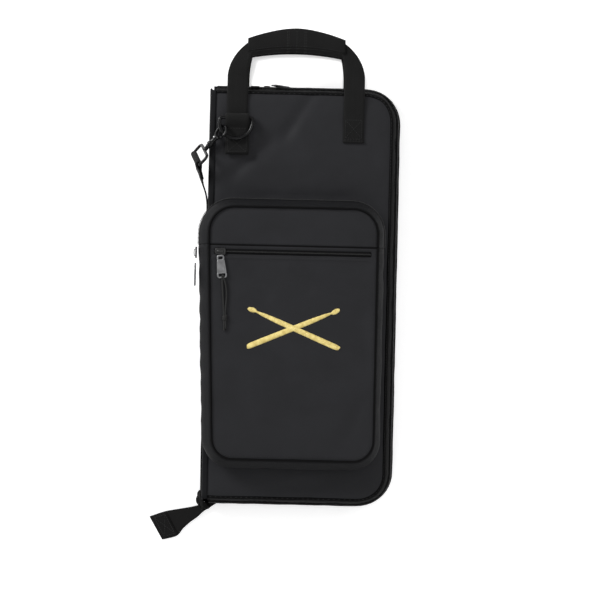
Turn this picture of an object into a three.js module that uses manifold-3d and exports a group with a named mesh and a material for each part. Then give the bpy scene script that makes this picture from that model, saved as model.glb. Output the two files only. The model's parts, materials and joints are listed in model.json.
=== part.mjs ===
// Drum stick bag: a book-style zipped case lying on its back.
// Millimetres. +X is the opening side, +Y points to the carrying handles, +Z out of the front face.
// The origin is the middle of the rear cover's outer face; the spine runs along Y on the -X side.
import * as THREE from 'three';
import { mergeVertices } from 'three/addons/utils/BufferGeometryUtils.js';
import Module from 'manifold-3d';

const wasm = await Module();
wasm.setup();

// ---- driving dimensions -------------------------------------------------------------------
const HALF_WIDTH = 111.5;
const HALF_LENGTH = 245;
const CORNER_RADIUS = 42;
const GAP = 0.3;
const WEBBING = 1.7;
const HANDLE_WEBBING_WIDTH = 24;
const STRAP_WIDTH = 32;

// levels of the stacked layers, from the floor up
const REAR = { panel: [0, 1.6], foam: [1.9, 6.9], lining: [7.2, 8.0] };
const FRONT = { panel: [50.7, 52.3], foam: [45.4, 50.4], lining: [44.3, 45.1] };
const COVER_FACE = FRONT.panel[1];
const FRONT_INSET = 11.2;
const FRONT_PADDING_INSET = 14.2;
const REAR_INSET = 0.6;
const REAR_PADDING_INSET = 3.6;

// spine
const SPINE_X = -110.5;
const HINGE_X = -109;
const HINGE_LOW_Z = 4;
const HINGE_HIGH_Z = 48;
const COVER_LEFT = HINGE_X + 0.6;
const PADDING_LEFT = HINGE_X + 5;
const SPINE_HALF_LENGTH = 240;

// stick channels sewn to each lining
const CHANNEL_PITCH = 60;
const CHANNEL_HEIGHT = 16.5;
const CHANNEL_SPAN = 48;
const CHANNEL_Y = [-205, 55];

// outer pocket
const POCKET = { top: 103.5, bottom: -188, left: -107.5, leftLow: -99.5, right: 88, z: [52.6, 89] };
const POCKET_SKIN = 1.4;
const POCKET_TOP_RADIUS = 30;
const POCKET_LOW_RADIUS = 25;
const FLAP_Y = 58;
const SLIP_Y = 50.4;
const SLIP_HALF_OPENING = 3;
const SLIP_X = [-101, 80];
const ZIP_LEVEL = 69;

// handles
const LEG_X = { left: -78.7, right: 57.1 };
const LEG_FOOT_Y = { left: 171, right: 181 };
const HANDLE_HINGE_Y = 221;
const REAR_HANDLE_HINGE_Y = 248;
const GRIP_TOP = 311;
const HANDLE_THICKNESS = 3.4;

// D-ring and its tab
const BAR = new THREE.Vector3(-79.6, 207, 59.3);
const D_HALF_WIDTH = 19.2;
const D_WIRE = 2.1;
const D_DEPTH = 25;
const D_TILT = 6.5 * Math.PI / 180;
const TAB_X = [-91.6, -64.2];

// snap hook: a claw ring, a shank and a swivel eye, all along HOOK_AXIS
const HOOK_AXIS = new THREE.Vector3(-0.674, -0.739, -0.2).normalize();
const CLAW_RADIUS = 7.9;
const CLAW_WIRE = 1.8;
const CLAW_TILT = 47 * Math.PI / 180;
const CLAW_OFFSET = 1.6;
const EYE_BAR = new THREE.Vector3(0.241, -0.452, 0.859).normalize();
const EYE_HALF_WIDTH = 18.5;
const EYE_NEAR = 29;
const EYE_FAR = 43;
const EYE_WIRE = 1.75;

const CORD_RADIUS = 1.2;

// ---- materials ----------------------------------------------------------------------------
const LOOKS = {
  nylon: [0x24252a, 0.85, 0],
  webbing: [0x17171a, 0.9, 0],
  binding: [0x19191b, 0.85, 0],
  lining: [0x1f2023, 0.8, 0],
  foam: [0x3a3a3c, 1, 0],
  zip: [0x151516, 0.7, 0],
  coil: [0x101011, 0.45, 0],
  black_metal: [0x141415, 0.35, 0.6],
  grey_metal: [0x77787a, 0.45, 0.8],
  cord: [0x101011, 0.9, 0],
  thread: [0xc9b25a, 0.5, 0.1],
  plastic: [0x121213, 0.4, 0],
};

function material(look) {
  const [color, roughness, metalness] = LOOKS[look];
  return new THREE.MeshStandardMaterial({ color, roughness, metalness });
}

const bag = new THREE.Group();

function add(name, look, geometry, group = bag) {
  const mesh = new THREE.Mesh(geometry, material(look));
  mesh.name = name;
  group.add(mesh);
  return mesh;
}

// ---- geometry helpers ---------------------------------------------------------------------
function welded(geometry) {
  const bare = geometry.clone();
  bare.deleteAttribute('normal');
  bare.deleteAttribute('uv');
  return mergeVertices(bare, 1e-4);
}

function signedVolume(positions, triangles) {
  let volume = 0;
  const [a, b, c] = [new THREE.Vector3(), new THREE.Vector3(), new THREE.Vector3()];
  for (let i = 0; i < triangles.length; i += 3) {
    a.fromArray(positions, triangles[i] * 3);
    b.fromArray(positions, triangles[i + 1] * 3);
    c.fromArray(positions, triangles[i + 2] * 3);
    volume += a.dot(b.cross(c)) / 6;
  }
  return volume;
}

function closedMesh(positions, triangles) {
  const outward = signedVolume(positions, triangles) > 0;
  const index = [];
  for (let i = 0; i < triangles.length; i += 3) {
    const [a, b, c] = triangles.slice(i, i + 3);
    index.push(a, outward ? b : c, outward ? c : b);
  }
  const geometry = new THREE.BufferGeometry();
  geometry.setAttribute('position', new THREE.Float32BufferAttribute(positions, 3));
  geometry.setIndex(index);
  geometry.computeVertexNormals();
  return geometry;
}

// Sweeps a closed section of [across, up] points over stations {at, across, up}.
function sweep(stations, section, loop = false) {
  const positions = [];
  for (const { at, across, up } of stations) {
    for (const [s, t] of section) {
      const point = at.clone().addScaledVector(across, s).addScaledVector(up, t);
      positions.push(point.x, point.y, point.z);
    }
  }
  const triangles = [];
  const n = section.length;
  const spans = loop ? stations.length : stations.length - 1;
  for (let i = 0; i < spans; i += 1) {
    const here = i * n;
    const next = ((i + 1) % stations.length) * n;
    for (let j = 0; j < n; j += 1) {
      const k = (j + 1) % n;
      triangles.push(here + j, next + j, next + k, here + j, next + k, here + k);
    }
  }
  if (!loop) {
    const outline = section.map(([s, t]) => new THREE.Vector2(s, t));
    const last = (stations.length - 1) * n;
    const flip = THREE.ShapeUtils.isClockWise(outline);
    const ordered = flip ? outline.slice().reverse() : outline;
    const place = (k) => (flip ? n - 1 - k : k);
    for (const [a, b, c] of THREE.ShapeUtils.triangulateShape(ordered, [])) {
      const [i, j, k] = [place(a), place(b), place(c)];
      triangles.push(...(flip ? [i, k, j] : [i, j, k]));
      triangles.push(...(flip ? [last + i, last + j, last + k] : [last + i, last + k, last + j]));
    }
  }
  return closedMesh(positions, triangles);
}

function ringSection(radius, sides = 8) {
  const section = [];
  for (let i = 0; i < sides; i += 1) {
    const a = (2 * Math.PI * (i + 0.5)) / sides;
    section.push([radius * Math.cos(a), radius * Math.sin(a)]);
  }
  return section;
}

function rectangle(s0, s1, t0, t1) {
  return [[s0, t0], [s1, t0], [s1, t1], [s0, t1]];
}

// Extrudes a shape along +Z, leaving out points that fall on each other where a line meets an arc.
function extruded(shape, depth, curveSegments) {
  const { shape: outline, holes } = shape.extractPoints(curveSegments);
  const apart = (points) => points.filter((p, i) => p.distanceTo(points[(i + 1) % points.length]) > 1e-3);
  const clean = new THREE.Shape(apart(outline));
  clean.holes = holes.map((hole) => new THREE.Path(apart(hole)));
  return new THREE.ExtrudeGeometry(clean, { depth, bevelEnabled: false });
}

function plate(shape, [z0, z1], curveSegments = 8) {
  return extruded(shape, z1 - z0, curveSegments).translate(0, 0, z0);
}

function box(x0, x1, y0, y1, z0, z1) {
  return new THREE.BoxGeometry(x1 - x0, y1 - y0, z1 - z0)
    .translate((x0 + x1) / 2, (y0 + y1) / 2, (z0 + z1) / 2);
}

function rectShape(x0, x1, y0, y1) {
  const shape = new THREE.Shape();
  shape.moveTo(x0, y0);
  shape.lineTo(x1, y0);
  shape.lineTo(x1, y1);
  shape.lineTo(x0, y1);
  shape.closePath();
  return shape;
}

function solid(geometry) {
  const bare = welded(geometry);
  return new wasm.Manifold(new wasm.Mesh({
    numProp: 3,
    vertProperties: Float32Array.from(bare.attributes.position.array),
    triVerts: Uint32Array.from(bare.index.array),
  }));
}

function joined(...geometries) {
  const whole = geometries.map(solid).reduce((sum, next) => sum.add(next));
  const mesh = whole.getMesh();
  return closedMesh(Array.from(mesh.vertProperties), Array.from(mesh.triVerts));
}

// A rod of the given radius from one point to another.
function rod(from, to, radius, sides = 12) {
  const along = to.clone().sub(from).normalize();
  const across = new THREE.Vector3().crossVectors(along, pickAside(along)).normalize();
  const up = new THREE.Vector3().crossVectors(along, across);
  return sweep([{ at: from, across, up }, { at: to, across, up }], ringSection(radius, sides));
}

function pickAside(direction) {
  return Math.abs(direction.z) < 0.8 ? new THREE.Vector3(0, 0, 1) : new THREE.Vector3(1, 0, 0);
}

const UP = new THREE.Vector3(0, 0, 1);

// Stations round the top, right and bottom edges of a cover, looking outward.
function rimStations(left) {
  const stations = [];
  const inX = HALF_WIDTH - CORNER_RADIUS;
  const inY = HALF_LENGTH - CORNER_RADIUS;
  const put = (x, y, angle) => stations.push({
    at: new THREE.Vector3(x, y, 0),
    across: new THREE.Vector3(Math.cos(angle), Math.sin(angle), 0),
    up: UP,
  });
  put(left, HALF_LENGTH, Math.PI / 2);
  const steps = 8;
  for (let i = 0; i <= steps; i += 1) {
    const a = (Math.PI / 2) * (1 - i / steps);
    put(inX + CORNER_RADIUS * Math.cos(a), inY + CORNER_RADIUS * Math.sin(a), a);
  }
  for (let i = 0; i <= steps; i += 1) {
    const a = (-Math.PI / 2) * (i / steps);
    put(inX + CORNER_RADIUS * Math.cos(a), -inY + CORNER_RADIUS * Math.sin(a), a);
  }
  put(left, -HALF_LENGTH, -Math.PI / 2);
  return stations;
}

// Flat outline of a cover layer: square at the spine, rounded at the two free corners.
function coverShape(inset, left) {
  const right = HALF_WIDTH - inset;
  const top = HALF_LENGTH - inset;
  const radius = CORNER_RADIUS - inset;
  const shape = new THREE.Shape();
  shape.moveTo(left, -top);
  shape.lineTo(right - radius, -top);
  shape.absarc(right - radius, -top + radius, radius, -Math.PI / 2, 0, false);
  shape.absarc(right - radius, top - radius, radius, 0, Math.PI / 2, false);
  shape.lineTo(left, top);
  shape.closePath();
  return shape;
}

// ---- rear cover ---------------------------------------------------------------------------
const REAR_LEG_TOP = 241;

function rearPanel() {
  const shape = coverShape(REAR_INSET, COVER_LEFT);
  for (const [side, x] of Object.entries(LEG_X)) {
    const half = HANDLE_WEBBING_WIDTH / 2 + GAP;
    shape.holes.push(rectShape(x - half, x + half, LEG_FOOT_Y[side] - GAP, REAR_LEG_TOP + GAP));
  }
  return plate(shape, REAR.panel);
}

// Sheet with three raised channels, closed at the bottom end so that sticks stand in it.
function stickPocket(zLining, direction) {
  const skin = 1;
  const steps = 6;
  const hump = (height, half) => (x) => {
    const t = Math.min(1, Math.abs(x) / half);
    return height * Math.sqrt(Math.max(0, 1 - t * t));
  };
  const outer = hump(CHANNEL_HEIGHT, CHANNEL_SPAN / 2);
  const inner = hump(CHANNEL_HEIGHT - skin, CHANNEL_SPAN / 2 - skin);
  const reach = CHANNEL_PITCH * 1.5;
  const upper = [[-reach, skin]];
  const lower = [[-reach, 0]];
  for (const centre of [-CHANNEL_PITCH, 0, CHANNEL_PITCH]) {
    for (let i = -steps; i <= steps; i += 1) {
      const angle = (Math.PI / 2) * (i / steps);
      const x = Math.sin(angle) * (CHANNEL_SPAN / 2);
      upper.push([centre + x, Math.max(skin, outer(x))]);
      const xi = Math.sin(angle) * (CHANNEL_SPAN / 2 - skin);
      lower.push([centre + xi, inner(xi)]);
    }
  }
  upper.push([reach, skin]);
  lower.push([reach, 0]);
  const across = new THREE.Vector3(1, 0, 0);
  const up = new THREE.Vector3(0, 0, direction);
  const station = (y) => ({ at: new THREE.Vector3(0, y, zLining + direction * GAP), across, up });
  const sheet = sweep([station(CHANNEL_Y[0]), station(CHANNEL_Y[1])], upper.concat(lower.reverse()));
  const profile = upper.concat([[reach, 0], [-reach, 0]]);
  const floor = sweep([station(CHANNEL_Y[0] - 1.2), station(CHANNEL_Y[0] + 0.2)], profile);
  return joined(sheet, floor);
}

function rearCover() {
  add('rear_panel', 'nylon', rearPanel());
  add('rear_foam', 'foam', plate(coverShape(REAR_PADDING_INSET, PADDING_LEFT), REAR.foam));
  add('rear_lining', 'lining', plate(coverShape(REAR_PADDING_INSET, PADDING_LEFT), REAR.lining));
  const rim = rimStations(PADDING_LEFT);
  add('rear_binding', 'binding', sweep(rim, [[-3.2, 2], [-1.2, 1.9], [0, 3], [0, 5.4], [-1, 6.4], [-3.2, 6.4]]));
  add('rear_gusset', 'webbing', sweep(rim, [[-2.6, 6.8], [-1.4, 6.8], [-3.6, 21.6], [-4.8, 21.6]]));
  add('rear_zip_tape', 'zip', sweep(rim, [[-4.9, 21.9], [-3.9, 21.9], [-4.7, 25.4], [-5.7, 25.4]]));
  add('rear_zip_coil', 'coil', sweep(rim, ringSection(1.1, 6).map(([s, t]) => [s - 2.9, t + 24.5])));
  add('rear_stick_pocket', 'lining', stickPocket(REAR.lining[1], 1));
  for (const [side, x] of Object.entries(LEG_X)) {
    const half = HANDLE_WEBBING_WIDTH / 2;
    add(`rear_handle_end_${side}`, 'webbing', box(x - half, x + half, LEG_FOOT_Y[side], REAR_LEG_TOP, ...REAR.panel));
  }
  add('zip_end_tab', 'webbing', box(-64, -54, 243.6, 247.2, 22, 31));
}

// The slack of the shoulder strap, folded back on itself where it leaves the lower spine corner.
function strapTail() {
  const shape = new THREE.Shape();
  const outline = [[-104, -249], [-104, -252.5], [-118.5, -266], [-129, -273], [-140, -287],
    [-158, -292], [-174, -264.6], [-155, -257.5], [-127, -252.5], [-112, -249]];
  outline.forEach(([x, y], i) => (i ? shape.lineTo(x, y) : shape.moveTo(x, y)));
  shape.closePath();
  return plate(shape, [0, 4.2]);
}

// ---- spine --------------------------------------------------------------------------------
function spine() {
  const y = SPINE_HALF_LENGTH;
  const padZ = [9, 43];
  add('spine_panel', 'nylon', box(SPINE_X, SPINE_X + 1.2, -y, y, HINGE_LOW_Z + GAP, HINGE_HIGH_Z - GAP));
  add('spine_foam', 'foam', box(SPINE_X + 1.5, SPINE_X + 5, -y + 4, y - 4, ...padZ));
  add('spine_lining', 'lining', box(SPINE_X + 5.3, SPINE_X + 6.1, -y + 4, y - 4, ...padZ));
}

const STRAP_Z = [10, 10 + STRAP_WIDTH];
const STRAP_X = [SPINE_X - GAP - WEBBING, SPINE_X - GAP];

function strapRun() {
  return box(...STRAP_X, -236, 112, ...STRAP_Z);
}

// Three-bar adjuster that the strap runs through.
function strapSlide() {
  const y0 = 20;
  const frame = box(STRAP_X[0] - 2.6, STRAP_X[0] - GAP, y0, y0 + 28, STRAP_Z[0] - 3.5, STRAP_Z[1] + 3.5);
  const cheeks = [STRAP_Z[0] - 3.5, STRAP_Z[1] + 0.6].map((z) => (
    box(STRAP_X[0] - 2.6, STRAP_X[1] + 0.1, y0 + 3, y0 + 25, z, z + 2.9)));
  return joined(frame, ...cheeks);
}

// ---- front cover --------------------------------------------------------------------------
function frontCover() {
  add('front_panel', 'nylon', plate(coverShape(FRONT_INSET, COVER_LEFT), FRONT.panel));
  add('front_foam', 'foam', plate(coverShape(FRONT_PADDING_INSET, PADDING_LEFT), FRONT.foam));
  add('front_lining', 'lining', plate(coverShape(FRONT_PADDING_INSET, PADDING_LEFT), FRONT.lining));
  const rim = rimStations(PADDING_LEFT);
  add('front_binding', 'binding', sweep(rim, [[-13.8, 46], [-11.2, 46], [-10.4, 47], [-10.4, 49.6], [-11.2, 50.4],
    [-13.8, 50.4]]));
  add('front_gusset', 'webbing', sweep(rim, [[-7.7, 30.3], [-6.5, 30.3], [-11, 45.6], [-12.2, 45.6]]));
  add('front_zip_tape', 'zip', sweep(rim, [[-6, 26.4], [-5, 26.4], [-6.4, 30], [-7.4, 30]]));
  add('front_zip_coil', 'coil', sweep(rim, ringSection(1.1, 6).map(([s, t]) => [s - 3.4, t + 27.1])));
  add('front_stick_pocket', 'lining', stickPocket(FRONT.lining[0], -1));
  for (const [side, x] of Object.entries(LEG_X)) {
    const half = HANDLE_WEBBING_WIDTH / 2;
    const z = [COVER_FACE + GAP, COVER_FACE + GAP + WEBBING];
    add(`front_handle_end_${side}`, 'webbing', box(x - half, x + half, LEG_FOOT_Y[side], HANDLE_HINGE_Y - 1, ...z));
  }
}

// Flat carrying loop: two legs and a softly peaked grip.
function handleLoop(hingeY, z) {
  const half = HANDLE_WEBBING_WIDTH / 2;
  const { left, right } = LEG_X;
  const shape = new THREE.Shape();
  shape.moveTo(left - half, hingeY);
  shape.lineTo(left - half, 258);
  shape.quadraticCurveTo(left - half + 1, 294, left + half, 299);
  shape.quadraticCurveTo(-24, GRIP_TOP + 13, right - half - 2, 300);
  shape.quadraticCurveTo(right + half - 4, 292, right + half, 262);
  shape.lineTo(right + half, hingeY);
  shape.lineTo(right - half, hingeY);
  shape.lineTo(right - half, 262);
  shape.quadraticCurveTo(right - half, 276, right - half - 6, 277);
  shape.quadraticCurveTo(-24, 291, left + half + 10, 277);
  shape.quadraticCurveTo(left + half, 274, left + half, 258);
  shape.lineTo(left + half, hingeY);
  shape.closePath();
  return plate(shape, [z, z + HANDLE_THICKNESS], 6);
}

// Webbing tab folded over the straight bar of the D-ring.
function dRingTab() {
  const shape = new THREE.Shape();
  const low = COVER_FACE + 2 * GAP + WEBBING + 0.1;
  shape.moveTo(164, low);
  shape.lineTo(BAR.y, low);
  shape.absarc(BAR.y, BAR.z, BAR.z - low, -Math.PI / 2, Math.PI / 2, false);
  shape.lineTo(198, low + 3.8);
  shape.lineTo(164, low + 3.6);
  shape.closePath();
  const hole = new THREE.Path();
  hole.absarc(BAR.y, BAR.z, D_WIRE + 0.35, 0, 2 * Math.PI, true);
  shape.holes.push(hole);
  const width = TAB_X[1] - TAB_X[0];
  const geometry = extruded(shape, width, 6);
  const basis = new THREE.Matrix4().makeBasis(new THREE.Vector3(0, 1, 0), UP, new THREE.Vector3(1, 0, 0));
  return geometry.applyMatrix4(basis).translate(TAB_X[0], 0, 0);
}

// D-ring in its own plane: straight bar through the origin, bow towards -Y.
function dRing() {
  const stations = [];
  const corner = 4;
  const bowY = -(D_DEPTH - D_HALF_WIDTH);
  const put = (x, y, a) => stations.push({
    at: new THREE.Vector3(x, y, 0),
    across: new THREE.Vector3(Math.cos(a), Math.sin(a), 0),
    up: UP,
  });
  for (let i = 0; i <= 3; i += 1) {
    const a = (Math.PI / 2) * (1 - i / 3);
    put(D_HALF_WIDTH - corner + corner * Math.cos(a), -corner + corner * Math.sin(a), a);
  }
  for (let i = 0; i <= 14; i += 1) {
    const a = -Math.PI * (i / 14);
    put(D_HALF_WIDTH * Math.cos(a), bowY + D_HALF_WIDTH * Math.sin(a), a);
  }
  for (let i = 0; i <= 3; i += 1) {
    const a = Math.PI - (Math.PI / 2) * (i / 3);
    put(-D_HALF_WIDTH + corner + corner * Math.cos(a), -corner + corner * Math.sin(a), a);
  }
  return sweep(stations, ringSection(D_WIRE, 8), true);
}

// ---- snap hook ----------------------------------------------------------------------------
function hookGroup() {
  const bowAngle = (215 * Math.PI) / 180;
  const onBow = new THREE.Vector3(
    D_HALF_WIDTH * Math.cos(bowAngle),
    -(D_DEPTH - D_HALF_WIDTH) + D_HALF_WIDTH * Math.sin(bowAngle),
    0,
  ).applyAxisAngle(new THREE.Vector3(-1, 0, 0), D_TILT).add(BAR);
  const centre = onBow.addScaledVector(HOOK_AXIS, CLAW_OFFSET);
  const level = new THREE.Vector3().crossVectors(UP, HOOK_AXIS).normalize();
  const rise = new THREE.Vector3().crossVectors(HOOK_AXIS, level);
  const sideways = level.multiplyScalar(Math.cos(CLAW_TILT)).addScaledVector(rise, Math.sin(CLAW_TILT));
  const normal = new THREE.Vector3().crossVectors(HOOK_AXIS, sideways);
  const group = new THREE.Group();
  group.quaternion.setFromRotationMatrix(new THREE.Matrix4().makeBasis(HOOK_AXIS, sideways, normal));
  group.position.copy(centre);
  return group;
}

function clawArc(from, to, radius, steps) {
  const stations = [];
  for (let i = 0; i <= steps; i += 1) {
    const a = ((from + (to - from) * (i / steps)) * Math.PI) / 180;
    stations.push({
      at: new THREE.Vector3(CLAW_RADIUS * Math.cos(a), CLAW_RADIUS * Math.sin(a), 0),
      across: new THREE.Vector3(Math.cos(a), Math.sin(a), 0),
      up: UP,
    });
  }
  return sweep(stations, ringSection(radius, 8));
}

const point = (x, y = 0, z = 0) => new THREE.Vector3(x, y, z);

function hookBody() {
  const claw = clawArc(80, 382, CLAW_WIRE, 18);
  const shank = rod(point(6.5), point(17.5), 3);
  const collar = rod(point(17), point(20.6), 3.9);
  return joined(claw, shank, collar);
}

function hookGate() {
  const bar = clawArc(30, 70, 1.5, 5);
  const thumb = rod(point(5.6, 5.4, 0.6), point(6.8, 7, 3.4), 1.2, 8);
  return joined(bar, thumb);
}

// Stem of the swivel and the rectangular loop that carries the strap, in bag coordinates.
function hookEye(centre) {
  const along = (d, b = 0) => centre.clone().addScaledVector(HOOK_AXIS, d).addScaledVector(EYE_BAR, b);
  const corners = [[EYE_NEAR, -1], [EYE_FAR, -1], [EYE_FAR, 1], [EYE_NEAR, 1]];
  const bars = corners.map(([d, s], i) => {
    const [e, r] = corners[(i + 1) % 4];
    return rod(along(d, s * EYE_HALF_WIDTH), along(e, r * EYE_HALF_WIDTH), EYE_WIRE, 8);
  });
  const knuckles = corners.map(([d, s]) => new THREE.SphereGeometry(EYE_WIRE * 1.05, 8, 6)
    .translate(...along(d, s * EYE_HALF_WIDTH).toArray()));
  const stem = rod(along(20.9), along(EYE_NEAR), 3);
  return joined(stem, ...bars, ...knuckles);
}

// Webbing folded round the far bar of the eye.
function strapEndLoop(centre) {
  const bar = centre.clone().addScaledVector(HOOK_AXIS, EYE_FAR);
  const away = new THREE.Vector3(0.198, -0.843, -0.499);
  away.addScaledVector(EYE_BAR, -away.dot(EYE_BAR)).normalize();
  const face = new THREE.Vector3().crossVectors(EYE_BAR, away).normalize();
  const inner = EYE_WIRE + GAP;
  const outer = inner + WEBBING;
  const shape = new THREE.Shape();
  shape.moveTo(20, -1.8);
  shape.lineTo(8, -1.8);
  shape.lineTo(0, -outer);
  shape.absarc(0, 0, outer, -Math.PI / 2, Math.PI / 2, true);
  shape.lineTo(8, 1.8);
  shape.lineTo(20, 1.8);
  shape.closePath();
  const hole = new THREE.Path();
  hole.absarc(0, 0, inner, 0, 2 * Math.PI, false);
  shape.holes.push(hole);
  const width = STRAP_WIDTH;
  const geometry = extruded(shape, width, 6);
  geometry.translate(0, 0, -width / 2);
  const basis = new THREE.Matrix4().makeBasis(away, face, new THREE.Vector3().crossVectors(away, face));
  return geometry.applyMatrix4(basis).translate(bar.x, bar.y, bar.z);
}

// ---- outer pocket -------------------------------------------------------------------------
// The swelling of the pocket's side walls, different on each side.
const BULGE = { left: 1.1, bottom: 1, right: 0.65, top: 0.8 };

function pocketStation(x, y, angle, swell) {
  const across = new THREE.Vector3(Math.cos(angle), Math.sin(angle), 0).multiplyScalar(swell);
  return { at: new THREE.Vector3(x, y, 0), across, up: UP };
}

function pocketCorner(cx, cy, radius, from, to, swellFrom, swellTo) {
  const steps = 6;
  const stations = [];
  for (let i = 0; i <= steps; i += 1) {
    const t = i / steps;
    const a = from + (to - from) * t;
    const swell = swellFrom + (swellTo - swellFrom) * t;
    stations.push(pocketStation(cx + radius * Math.cos(a), cy + radius * Math.sin(a), a, swell));
  }
  return stations;
}

function lowerPocketStations() {
  const { bottom, left, leftLow, right } = POCKET;
  const r = POCKET_LOW_RADIUS;
  return [
    pocketStation(left, FLAP_Y - 0.4, Math.PI, BULGE.left),
    ...pocketCorner(leftLow + r, bottom + r, r, Math.PI, 1.5 * Math.PI, BULGE.left, BULGE.bottom),
    ...pocketCorner(right - r, bottom + r, r, -0.5 * Math.PI, 0, BULGE.bottom, BULGE.right),
    pocketStation(right, FLAP_Y - 0.4, 0, BULGE.right),
  ];
}

function upperPocketStations() {
  const { top, left, right } = POCKET;
  const r = POCKET_TOP_RADIUS;
  return [
    pocketStation(left, FLAP_Y + 0.4, Math.PI, BULGE.left),
    ...pocketCorner(left + r, top - r, r, Math.PI, 0.5 * Math.PI, BULGE.left, BULGE.top),
    ...pocketCorner(right - r, top - r, r, 0.5 * Math.PI, 0, BULGE.top, BULGE.right),
    pocketStation(right, FLAP_Y + 0.4, 0, BULGE.right),
  ];
}

function outlineOf(stations) {
  const shape = new THREE.Shape();
  stations.forEach(({ at }, i) => (i ? shape.lineTo(at.x, at.y) : shape.moveTo(at.x, at.y)));
  shape.closePath();
  return shape;
}

const FACE_LEVEL = [POCKET.z[1] - POCKET_SKIN, POCKET.z[1]];
const WALL_TOP = FACE_LEVEL[0] - GAP;

function outerPocket() {
  const lower = lowerPocketStations();
  const upper = upperPocketStations();
  const face = outlineOf(lower);
  face.holes.push(rectShape(...SLIP_X, SLIP_Y - SLIP_HALF_OPENING, SLIP_Y + SLIP_HALF_OPENING));
  const base = POCKET.z[0];
  add('pocket_face', 'nylon', plate(face, FACE_LEVEL));
  add('pocket_gusset', 'webbing', sweep(lower, [[0, WALL_TOP], [10.6, ZIP_LEVEL], [4, base], [2.6, base],
    [9.2, ZIP_LEVEL], [-1.6, WALL_TOP]]));
  add('pocket_arch_gusset', 'webbing', sweep(upper, [[10.2, 65.6], [4, base], [2.6, base], [8.8, 65.6]]));
  add('pocket_zip', 'coil', sweep(upper, [[9.2, 66], [10.4, 66], [11.8, 67.6], [11.8, 69.8], [10.4, 71], [9.2, 71]]));
  add('flap_face', 'nylon', plate(outlineOf(upper), FACE_LEVEL));
  add('flap_gusset', 'webbing', sweep(upper, [[0, WALL_TOP], [9.8, 71.4], [8.4, 71.4], [-1.6, WALL_TOP]]));
  add('slip_zip', 'coil', box(SLIP_X[0] + GAP, SLIP_X[1] - GAP, SLIP_Y - 2.7, SLIP_Y + 2.7, 87.9, 89.1));
  add('slip_pocket_liner', 'lining', box(-92, 74, -150, 46, 85.4, 86.2));
  const trim = (stations, inset) => stations.map(({ at, across, up }) => ({
    at: at.clone().addScaledVector(across.clone().normalize(), -inset), across: across.clone().normalize(), up,
  }));
  const bead = [[-1.4, 89.3], [1.4, 89.3], [1, 91], [-1, 91]];
  add('pocket_piping', 'binding', sweep(trim(lower, 1.5), bead));
  add('flap_piping', 'binding', sweep(trim(upper, 1.5), bead));
}

// Embroidered badge: two crossed drum sticks.
function badge() {
  const stick = (angle) => {
    const shape = new THREE.Shape();
    shape.moveTo(-62, -3);
    shape.lineTo(38, -3);
    shape.lineTo(54, -1.4);
    shape.quadraticCurveTo(60, -4.2, 63, 0);
    shape.quadraticCurveTo(60, 4.2, 54, 1.4);
    shape.lineTo(38, 3);
    shape.lineTo(-62, 3);
    shape.quadraticCurveTo(-65, 0, -62, -3);
    return plate(shape, [89.2, 89.6], 4).rotateZ(angle).translate(-7.4, -35, 0);
  };
  const lean = 0.4;
  return joined(stick(lean), stick(Math.PI - lean));
}

// ---- zip sliders, pull tabs and the slip pocket's cord -----------------------------------------------
// Tapered tab with an eye at each end, along +X from the origin, flat in XY.
function pullTab(length) {
  const shape = new THREE.Shape();
  shape.moveTo(0, -4);
  shape.lineTo(length - 4, -5.6);
  shape.quadraticCurveTo(length, -5.6, length, 0);
  shape.quadraticCurveTo(length, 5.6, length - 4, 5.6);
  shape.lineTo(0, 4);
  shape.closePath();
  shape.holes.push(rectShape(1.8, 4.4, -2, 2), rectShape(length - 5.4, length - 2, -3, 3));
  return plate(shape, [-0.8, 0.8], 4);
}

const TAB_LENGTH = 26;

function placedTab(from, along, across) {
  const normal = new THREE.Vector3().crossVectors(along, across);
  const basis = new THREE.Matrix4().makeBasis(along, across, normal);
  return pullTab(TAB_LENGTH).applyMatrix4(basis).translate(from.x, from.y, from.z);
}

function sliderBody(length, width, height) {
  const lower = box(-length / 2, length / 2, -width / 2, width / 2, 0, height * 0.55);
  const bridge = box(-length * 0.35, length * 0.35, -width * 0.16, width * 0.16, height * 0.5, height);
  return joined(lower, bridge);
}

function cordTube(points) {
  const curve = new THREE.CatmullRomCurve3(points.map((p) => new THREE.Vector3(...p)));
  const section = new THREE.Shape(ringSection(CORD_RADIUS, 8).map(([s, t]) => new THREE.Vector2(s, t)));
  const steps = Math.ceil(curve.getLength() / (2.5 * 2 * CORD_RADIUS));
  return new THREE.ExtrudeGeometry(section, { steps, extrudePath: curve, bevelEnabled: false });
}

// The route starts at the tab's lower eye.
const SLIP_CORD = [[-89.9, 18.6, 91.6], [-89.7, 14, 91.2], [-89, 4, 91], [-88.2, -6, 91], [-87.6, -16, 91],
  [-87.1, -26, 91], [-86.6, -40, 91]];

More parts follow.
